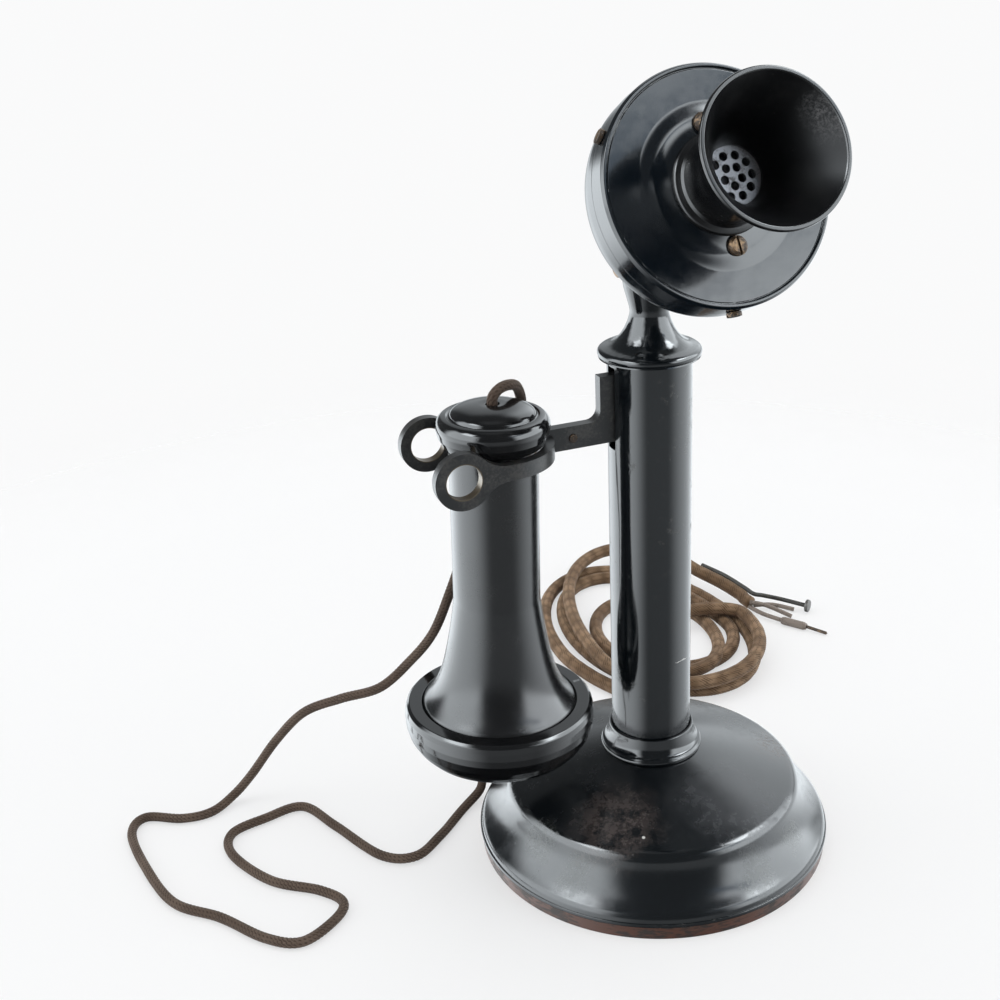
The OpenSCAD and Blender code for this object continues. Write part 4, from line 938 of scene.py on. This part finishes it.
turned("transmitter_cup_body",
       cup_side(0) + [(CUP_R, CUP_FRONT, 0.4), (COLLAR_R, CUP_FRONT), (COLLAR_R, COLLAR_TOP),
                      (COLLAR_R - CUP_WALL, COLLAR_TOP), (COLLAR_R - CUP_WALL, CUP_FRONT)]
       + cup_side(CUP_WALL)[::-1],
       cup_japan, "transmitter", ["transmitter_cup"], at_transmitter)
print("transmitter:", 2 * RIM_R, "mm wide, tilted up", TILT_UP, "degrees")

# %% [markdown]
# The faceplate isn't flat: it is raised softly round the mouthpiece, and has
# a narrow rolled edge that draws a bright line round it.

# %% The faceplate
FACE_R, RAISED_R, SLOPE_END, DROP, SLOPE_STEPS = 37.5, 21.0, 26.5, 0.75, 10
THREAD_R, THREAD_H, THROAT_R = 11.8, 7.7, 9.2
raised = [(RAISED_R + (SLOPE_END - RAISED_R) * s, FACE_OUT - DROP * s ** 2 * (3 - 2 * s))
          for s in (k / SLOPE_STEPS for k in range(SLOPE_STEPS + 1))]
rolled_edge = [(FACE_R - 1.7, FACE_OUT - DROP + 0.1, 0.4), (FACE_R - 1.3, FACE_OUT - DROP - 0.1, 0.2),
               (FACE_R - 0.9, FACE_OUT - 0.05, 0.25), (FACE_R - 0.1, FACE_OUT - 0.05, 0.35),
               (RIM_R, FACE_OUT - 1.3, 0.5), (RIM_R, FACE_OUT - FACE_RIM_H, 0.3)]
inner_face = [(RIM_R - FACE_T, FACE_OUT - FACE_RIM_H), (RIM_R - FACE_T, FACE_OUT - FACE_T - DROP),
              (SLOPE_END, FACE_OUT - FACE_T - DROP), (THROAT_R, FACE_OUT - FACE_T)]
thread = [(THROAT_R, FACE_OUT + THREAD_H), (THREAD_R, FACE_OUT + THREAD_H), (THREAD_R, FACE_OUT)]
turned("faceplate_body", inner_face + thread + raised + rolled_edge,
       cup_japan, "transmitter", ["faceplate"], at_transmitter, around=256)
eased_copy("transmitter_lug_body", "transmitter_lug", cup_japan, "transmitter", 0.4, 3)
for name, node in [("rim_screw_heads", "rim_screws"), ("face_screw_heads", "face_screws")]:
    eased_copy(name, node, brass, "transmitter", 0.12)
print("the face is raised", DROP, "mm round the mouthpiece")

# %% [markdown]
# The mouthpiece is one moulding of hard rubber. A bead seats it on the
# faceplate, a short shank carries the bell, and the bell's lip is rounded on
# both sides, which is why its rim shows as a double line. The inside of the
# bell gets the duller rubber. Behind it sits a pressed steel grille.

# %% The mouthpiece
HORN_LEN, HORN_R, LIP, SHANK_R, SHANK_TOP = 36.5, 23.7, 1.7, 13.5, 14.0
BEAD_R, BEAD, THROAT_Z, GRILLE_R, OVER_THREAD_R = 16.2, 1.3, 9.1, 10.4, THREAD_R + 0.1


def bell_outside(steps=22):
    return [(SHANK_R + (HORN_R - 0.5 - SHANK_R) * (k / steps) ** 2,
             SHANK_TOP + (HORN_LEN - 1.5 - SHANK_TOP) * k / steps) for k in range(steps + 1)]


def bell_inside(steps=30):
    mouth = HORN_R - LIP
    return [(THROAT_R + (mouth - THROAT_R) * (k / steps) ** 1.7,
             THROAT_Z + (HORN_LEN - 0.4 - THROAT_Z) * k / steps) for k in range(steps, -1, -1)]


horn = ([(OVER_THREAD_R, 0.3), (BEAD_R - 0.4, 0.3)] + arc((BEAD_R - BEAD, 1.7), BEAD, -60, 60, 12)
        + [(SHANK_R + 0.7, 3.3, 0.3), (SHANK_R + 0.1, 4.3, 0.5)] + bell_outside()
        + [(HORN_R, HORN_LEN - 1.0, 0.35), (HORN_R - 0.25, HORN_LEN - 0.05, 0.4),
           (HORN_R - LIP + 0.35, HORN_LEN, 0.3)] + bell_inside()
        + [(GRILLE_R + 0.1, THROAT_Z), (GRILLE_R + 0.1, THREAD_H + 0.1), (OVER_THREAD_R, THREAD_H + 0.1)])
mouth = turned("mouthpiece_body", raised_by(FACE_OUT, horn), mouth_rubber, "transmitter",
               ["mouthpiece"], at_transmitter, around=224)
mouth.data.materials.append(bell_rubber.material)
axis_point, axis = at_transmitter.translation, at_transmitter.to_3x3() @ Vector((0, 0, 1))
for face in mouth.data.polygons:
    out = face.center / MM - axis_point
    if face.normal.dot(out - axis * out.dot(axis)) < 0 and out.dot(axis) < FACE_OUT + HORN_LEN - 0.7:
        face.material_index = 1
eased_copy("mouthpiece_grille_plate", "mouthpiece_grille", grille_grey, "transmitter", 0.15)
print("mouthpiece:", 2 * HORN_R, "mm wide")

# %% [markdown]
# The receiver is turned hard rubber as well. It hangs a little out of plumb.
# Its handle is long, and swells into a wide foot in a curve that starts
# slowly and ends fast, so two powers are added.

# %% The receiver's handle
RECEIVER_X, REST_Z, LEAN = -59.3, 175.5, 1.5
HANDLE_R, HANDLE_LEN, FLARE_H, SEAM_R, HANDLE_WALL = 15.6, 98.2, 42.2, 28.4, 3.2
CAP_LOW, CAP_BORE_R, SPIGOT_H, HANDLE_BORE_R, LINING_R = -1.5, 14.0, 7.0, 11.6, 26.4
at_receiver = (Matrix.Translation((RECEIVER_X, 0, REST_Z))
               @ Matrix.Rotation(math.radians(LEAN), 4, "Y"))
LEDGE_DROP = 9
LINED_FROM = 30       # step of the swelling from which its inside is one wide room
SEAM_Z = CAP_LOW - HANDLE_LEN
LEDGE_Z = SEAM_Z - LEDGE_DROP


def handle_side(inset, steps=40):
    """The swelling part of the handle, from its top down, set in by inset."""
    shares = [k / steps for k in range(steps + 1)]
    return [(HANDLE_R + (SEAM_R - HANDLE_R) * (0.62 * s ** 1.3 + 0.38 * s ** 7) - inset,
             SEAM_Z + FLARE_H * (1 - s)) for s in shares]


turned("receiver_body",
       [(LINING_R, LEDGE_Z + 0.5), (SEAM_R, LEDGE_Z + 0.5), (SEAM_R, SEAM_Z - 0.2)]
       + handle_side(0)[:-1][::-1]
       + [(HANDLE_R, CAP_LOW, 0.3), (CAP_BORE_R, CAP_LOW), (CAP_BORE_R, CAP_LOW + SPIGOT_H),
          (HANDLE_BORE_R, CAP_LOW + SPIGOT_H), (HANDLE_BORE_R, CAP_LOW - 3)]
       + handle_side(HANDLE_WALL)[:LINED_FROM] + [(22, SEAM_Z + 2), (LINING_R, SEAM_Z - 2)],
       receiver_rubber, "receiver", ["receiver_shell"], at_receiver)
print("receiver's handle:", HANDLE_LEN, "mm long")

# %% [markdown]
# The domed cap on top has the cord's hole at its crown.

# %% The receiver's cap
CAP_R, CAP_H, CAP_DOME, CAP_BULGE, HOLE_R = 19.8, 12.5, 4.0, 4.2, 2.4
CAP_THREAD_R = CAP_BORE_R + 0.1
cap = ([(CAP_THREAD_R, 0.1), (HANDLE_R + 0.3, 0.1, 0.2), (17.4, 2.05, 0.4), (CAP_R - 0.7, 5.2, 0.8)]
       + arc((CAP_R - CAP_BULGE, 8.6), CAP_BULGE, -20, 60, 14)
       + [(CAP_R - 3.6, CAP_H, 0.4), (CAP_R - 4.4, CAP_H - 0.55, 0.35)]
       + oval((HOLE_R, CAP_H - 0.2), CAP_R - 4.9 - HOLE_R, CAP_DOME, 0, 80, 20)
       + [(HOLE_R, CAP_H + CAP_DOME - 0.4, 0.3), (HOLE_R, CAP_H), (11, CAP_H - 3), (CAP_THREAD_R, 7.3)])
turned("receiver_cap_body", raised_by(CAP_LOW, cap),
       cap_rubber, "receiver", ["receiver_cap"], at_receiver)
print("receiver's cap:", 2 * CAP_R, "mm wide")

# %% [markdown]
# The dished ear cap screws on below. Its outline falls from a flat ledge over
# a rounded flank to the edge that touches the ear, then rises into the dish.

# %% The ear cap
EAR_R, EAR_H, DISH, SOUND_R = 34.8, 20.2, 6.0, 5.5
EAR_LOW = SEAM_Z - EAR_H
LEDGE_H = LEDGE_Z - EAR_LOW
ear = [(SEAM_R + 0.1, LEDGE_H), (SEAM_R + 0.1, EAR_H, 0.35), (SEAM_R + 1.3, EAR_H, 0.3),
       (EAR_R - 1.6, EAR_H, 0.5), (EAR_R - 0.6, EAR_H - 1, 0.8), (EAR_R - 0.1, EAR_H - 3, 1.6),
       (EAR_R, EAR_H - 5.8, 1.5), (EAR_R - 0.2, EAR_H - 8.5, 1.5), (EAR_R - 1.2, EAR_H - 12, 2.5),
       (EAR_R - 3.2, 5, 3), (EAR_R - 5.6, 2.4, 3), (EAR_R - 7.8, 0.8, 3), (EAR_R - 9.4, 0.1, 2),
       (EAR_R - 10.4, 0, 2), (EAR_R - 11.4, 0.5, 2), (EAR_R - 18, DISH - 2.4, 6),
       (SOUND_R + 4, DISH - 0.8, 3), (SOUND_R, DISH, 0.4), (SOUND_R, DISH + 2.2),
       (SEAM_R - 4, LEDGE_H - 1.2), (SEAM_R - 2, LEDGE_H)]
turned("ear_cap_body", raised_by(EAR_LOW, ear), cap_rubber, "receiver", ["ear_cap"],
       at_receiver, around=224)
print("solids with a finer piece so far:", sum(o.hide_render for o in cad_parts.values()))

# %% [markdown]
# At the far end the desk cord's cotton stops, and four covered wires come
# out. The longest is black, lies along the top of the cord and ends in a
# broad round tag, one ends in a crimped sleeve with a thin pin, and the other
# two were simply cut. They are short stiff pieces on the cord.

# %% The wires at the cord's end
WIRE_R, TAG_R, SLEEVE_R, PIN_R = 1.1, 3.2, 2.0, 0.8
WIRES = {
    "wire_long": [(118.8, 181, 12), (124.6, 167, 10.9), (129, 154, 8.8), (131.2, 148, 7.4),
                  (136, 146, 6.2), (144, 141, 4.5), (152, 131.5, 3.7)],
    "wire_middle": [(128.7, 143.1, 3.5), (138, 140.6, 3), (147, 134, 1.3)],
    "wire_short": [(125.9, 142.6, 6.2), (133, 137.6, 5), (142, 128, 1.3)],
    "wire_sleeved": [(125.8, 142.7, 3.6), (129, 134.8, 2.6), (134.3, 125.5, 2.2)]}
TAG_AT, TAG_END = (152.3, 131.2, 3.7), (153.3, 129.9, 3.7)
SLEEVE_AT, SLEEVE_END, PIN_END = (134.5, 125.1, 2.2), (142, 114, 2.2), (148.5, 105, 1.2)


def tip(name, start, end, outline, finish, around=40):
    """A small turned piece from start to end. Its outline is given the length between them."""
    start, way = Vector(start), Vector(end) - Vector(start)
    place = Matrix.Translation(start) @ way.to_track_quat("Z", "Y").to_matrix().to_4x4()
    return turned(name, outline(way.length), finish, "stand", ["conductor_tips"],
                  place, around)


wire_pieces = []
for name, route in WIRES.items():
    wire = tube(name, smooth_line(route, 0.7), WIRE_R)
    finish = cover_black if name == "wire_long" else cover_grey
    wire_pieces.append(finished(wire, finish, "stand", ["conductors"]))
wire_pieces += [
    tip("wire_tag", TAG_AT, TAG_END,
        lambda end: [(0, 0), (TAG_R, 0, 0.3), (TAG_R, end, 0.4), (0, end + 0.2)], magnet),
    tip("wire_sleeve", SLEEVE_AT, SLEEVE_END,
        lambda end: [(0, 0), (SLEEVE_R - 0.3, 0, 0.3), (SLEEVE_R, 1.5, 0.6), (SLEEVE_R, end - 1.5, 0.6),
                     (SLEEVE_R - 0.5, end, 0.3), (0, end)], cover_grey),
    tip("wire_pin", SLEEVE_END, PIN_END,
        lambda end: [(0, -0.5), (PIN_R, -0.5), (PIN_R, end - 0.6, 0.3), (0, end)], brass, around=24)]
print("wires and tips:", len(wire_pieces))

# %% [markdown]
# Soft rubber bushings line the two holes in the base where the cords go in.
# Everything else is inside or underneath, but it is all finished, because a
# library part may be opened or turned over: the felt pad and its plate, the
# switch springs, the magnet with its coils, the carbon button and the screws.

# %% The bushings and the inner works
for name, node in [("receiver_cord_grommet", "receiver_cord_bushing"),
                   ("desk_cord_grommet", "desk_cord_bushing")]:
    eased_copy(name, node, soft_rubber, "stand", 0.5, 3)
INNER = {
    felt: ["felt_pad"],
    steel: ["bottom_plate", "hook_pivot_pin", "hook_spring", "damping_springs", "receiver_diaphragm"],
    brass: ["bottom_screws", "terminal_screws", "stem_nut", "switch_bracket", "spring_screws",
            "fixed_contacts", "moving_contact", "lug_screws", "transmitter_bridge",
            "carbon_button", "receiver_terminals"],
    fibre: ["terminal_block", "lever_stud", "spring_insulators"],
    sheet_metal: ["diaphragm"],
    soft_rubber: ["diaphragm_gasket"],
    magnet: ["receiver_magnet"],
    enamel: ["receiver_coils"]}
for finish, names in INNER.items():
    for name in names:
        coat(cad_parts[name], finish)
print("inner pieces:", sum(len(names) for names in INNER.values()))

# %% [markdown]
# The telephone stands on pale paper. The camera sees part of it as its own
# light, so that the shadow stays faint, and far away the paper fades into the
# background. Reflections don't see it, because the room below paints its own.

# %% The paper
FLOOR_SIZE = 60.0
FADE_AROUND, FADE_FROM, FADE_TO = (-30, 60, 0), 330.0, 620.0
PAPER_LIT, PAPER_SEEN, PAPER_GLOW = (0.90, 0.905, 0.91), (0.36, 0.362, 0.364), (0.565, 0.567, 0.57)


def studio_floor():
    bpy.ops.mesh.primitive_plane_add(size=FLOOR_SIZE, location=(0, 0, 0))
    floor = bpy.context.object
    floor.name = "floor"
    finish = Finish("paper", Roughness=0.8, Specular_IOR_Level=0.1, Emission_Strength=1.0)
    seen, mirrored = finish.ray("Is Camera Ray"), finish.ray("Is Glossy Ray")
    far = finish.step(finish.far_from(FADE_AROUND), FADE_FROM, FADE_TO)
    finish.look(Base_Color=finish.mixed(seen, PAPER_LIT, PAPER_SEEN),
                Emission_Color=finish.mixed(seen, (0.0, 0.0, 0.0), PAPER_GLOW),
                Alpha=(1.0 - seen * far) * (1.0 - mirrored))
    floor.data.materials.append(finish.material)


studio_floor()
print("paper:", FLOOR_SIZE, "m wide")

# %% [markdown]
# Black gloss shows the room more than it shows itself, so the room is painted
# into the world by direction. This class does sums for the world as a finish
# does for a surface, and draws soft-edged windows.

# %% Windows by direction
class Room(Wiring):
    """The same sums on wires, in the world instead of a material."""

    def __init__(self, world):
        world.use_nodes = True
        super().__init__(world.node_tree, "Background", "Generated")
        self.rise = self.vector("DOT_PRODUCT", self.place, (0, 0, 1))
        self.flat = self.vector("NORMALIZE", self.place * (1.0, 1.0, 0.0))

    def facing(self, azimuth):
        """Cosine of the angle between a direction's azimuth and this one."""
        return self.vector("DOT_PRODUCT", self.flat, off_axis(azimuth, 1.0, 0.0))

    def window(self, azimuth, half_width, low, high, soft):
        """1 in a soft-edged window, given by azimuth and rise in degrees."""
        sine = [math.sin(math.radians(a)) for a in (low - soft / 2, low + soft / 2,
                                                    high + soft / 2, high - soft / 2)]
        return (self.step(self.facing(azimuth), math.cos(math.radians(half_width + soft)),
                          math.cos(math.radians(half_width - soft)))
                * self.step(self.rise, sine[0], sine[1]) * self.step(self.rise, sine[2], sine[3]))


# %% [markdown]
# The room has a dark ceiling and a dark space behind the camera, tall soft
# windows left and right, one narrow blue bar, and pale paper below. Only
# reflections see it. The camera sees the paper's own near-white, and all other
# rays see one even soft light, which keeps every colour plain.

# %% The room
WINDOWS = [
    # azimuth, half width, lowest and highest rise and softness in degrees, then brightness
    (181, 34, -10, 46, 10, 6.2), (332, 36, -10, 46, 8, 6.3), (338, 18, 41, 56, 6, 17.0),
    (184, 16, 44, 58, 6, 13.0), (28, 22, 4, 50, 14, 2.4), (66, 16, 4, 45, 12, 0.7)]
BLUE_BAR, BAR_BLUE = (304, 16, 31.5, 37, 3), (0.85, 1.1, 1.4)
EVEN, DAYLIGHT, PAPER = 0.74, (0.90, 0.96, 1.0), (0.955, 0.957, 0.96)
DARK, SKYLIGHT, PAPER_DIM, PAPER_LEFT, PAPER_RIGHT = 0.17, 0.25, 0.62, 4.0, 1.9


def studio_room():
    world = bpy.data.worlds.new("studio")
    bpy.context.scene.world = world
    room = Room(world)
    below = ((room.step(room.facing(155), 0.1, 0.95) * PAPER_LEFT
              + room.step(room.facing(5), 0.3, 1.0) * PAPER_RIGHT + PAPER_DIM)
             * room.step(room.rise, -0.9, -0.35))
    above = room.step(room.rise, 0.93, 1.0) * SKYLIGHT + DARK
    for *opening, bright in WINDOWS:
        above = above + room.window(*opening) * bright
    level = room.step(room.rise, -0.03, 0.03)
    light = above * level + below * (1.0 - level)
    daylight = room.mixed(1.0, DAYLIGHT, light, "MULTIPLY")
    painted = room.mixed(room.window(*BLUE_BAR), daylight, BAR_BLUE)
    unseen = room.mixed(room.ray("Is Glossy Ray"), (EVEN, EVEN, EVEN), painted)
    room.look(Color=room.mixed(room.ray("Is Camera Ray"), unseen, PAPER), Strength=1.0)


studio_room()
print("windows:", len(WINDOWS))

# %% [markdown]
# Three broad lamps give the shadow a direction. They are weak and can't be
# seen in reflections, because the painted windows already stand for them.

# %% The lamps
LAMPS = [
    # name, place, what it points at, width and height, all in metres, then power in watts
    ("window_right", (1.1, -0.7, 1.2), (0, 0, 0.12), (1.0, 1.0), 4),
    ("window_left", (-1.3, 0.3, 1.1), (0, 0, 0.12), (0.8, 1.2), 4),
    ("top", (0.1, 0.2, 1.8), (0, 0, 0), (1.4, 1.4), 7.5)]

for name, at, towards, size, power in LAMPS:
    light = bpy.data.lights.new(name, "AREA")
    light.shape, light.size, light.size_y = "RECTANGLE", *size
    light.energy = power
    made = bpy.data.objects.new(name, light)
    made.matrix_world = (Matrix.Translation(at)
                         @ (Vector(towards) - Vector(at)).to_track_quat("-Z", "Y").to_matrix().to_4x4())
    made.visible_glossy = False
    bpy.context.scene.collection.objects.link(made)
bpy.context.scene.view_settings.view_transform = "Standard"
print("lamps:", len(LAMPS))
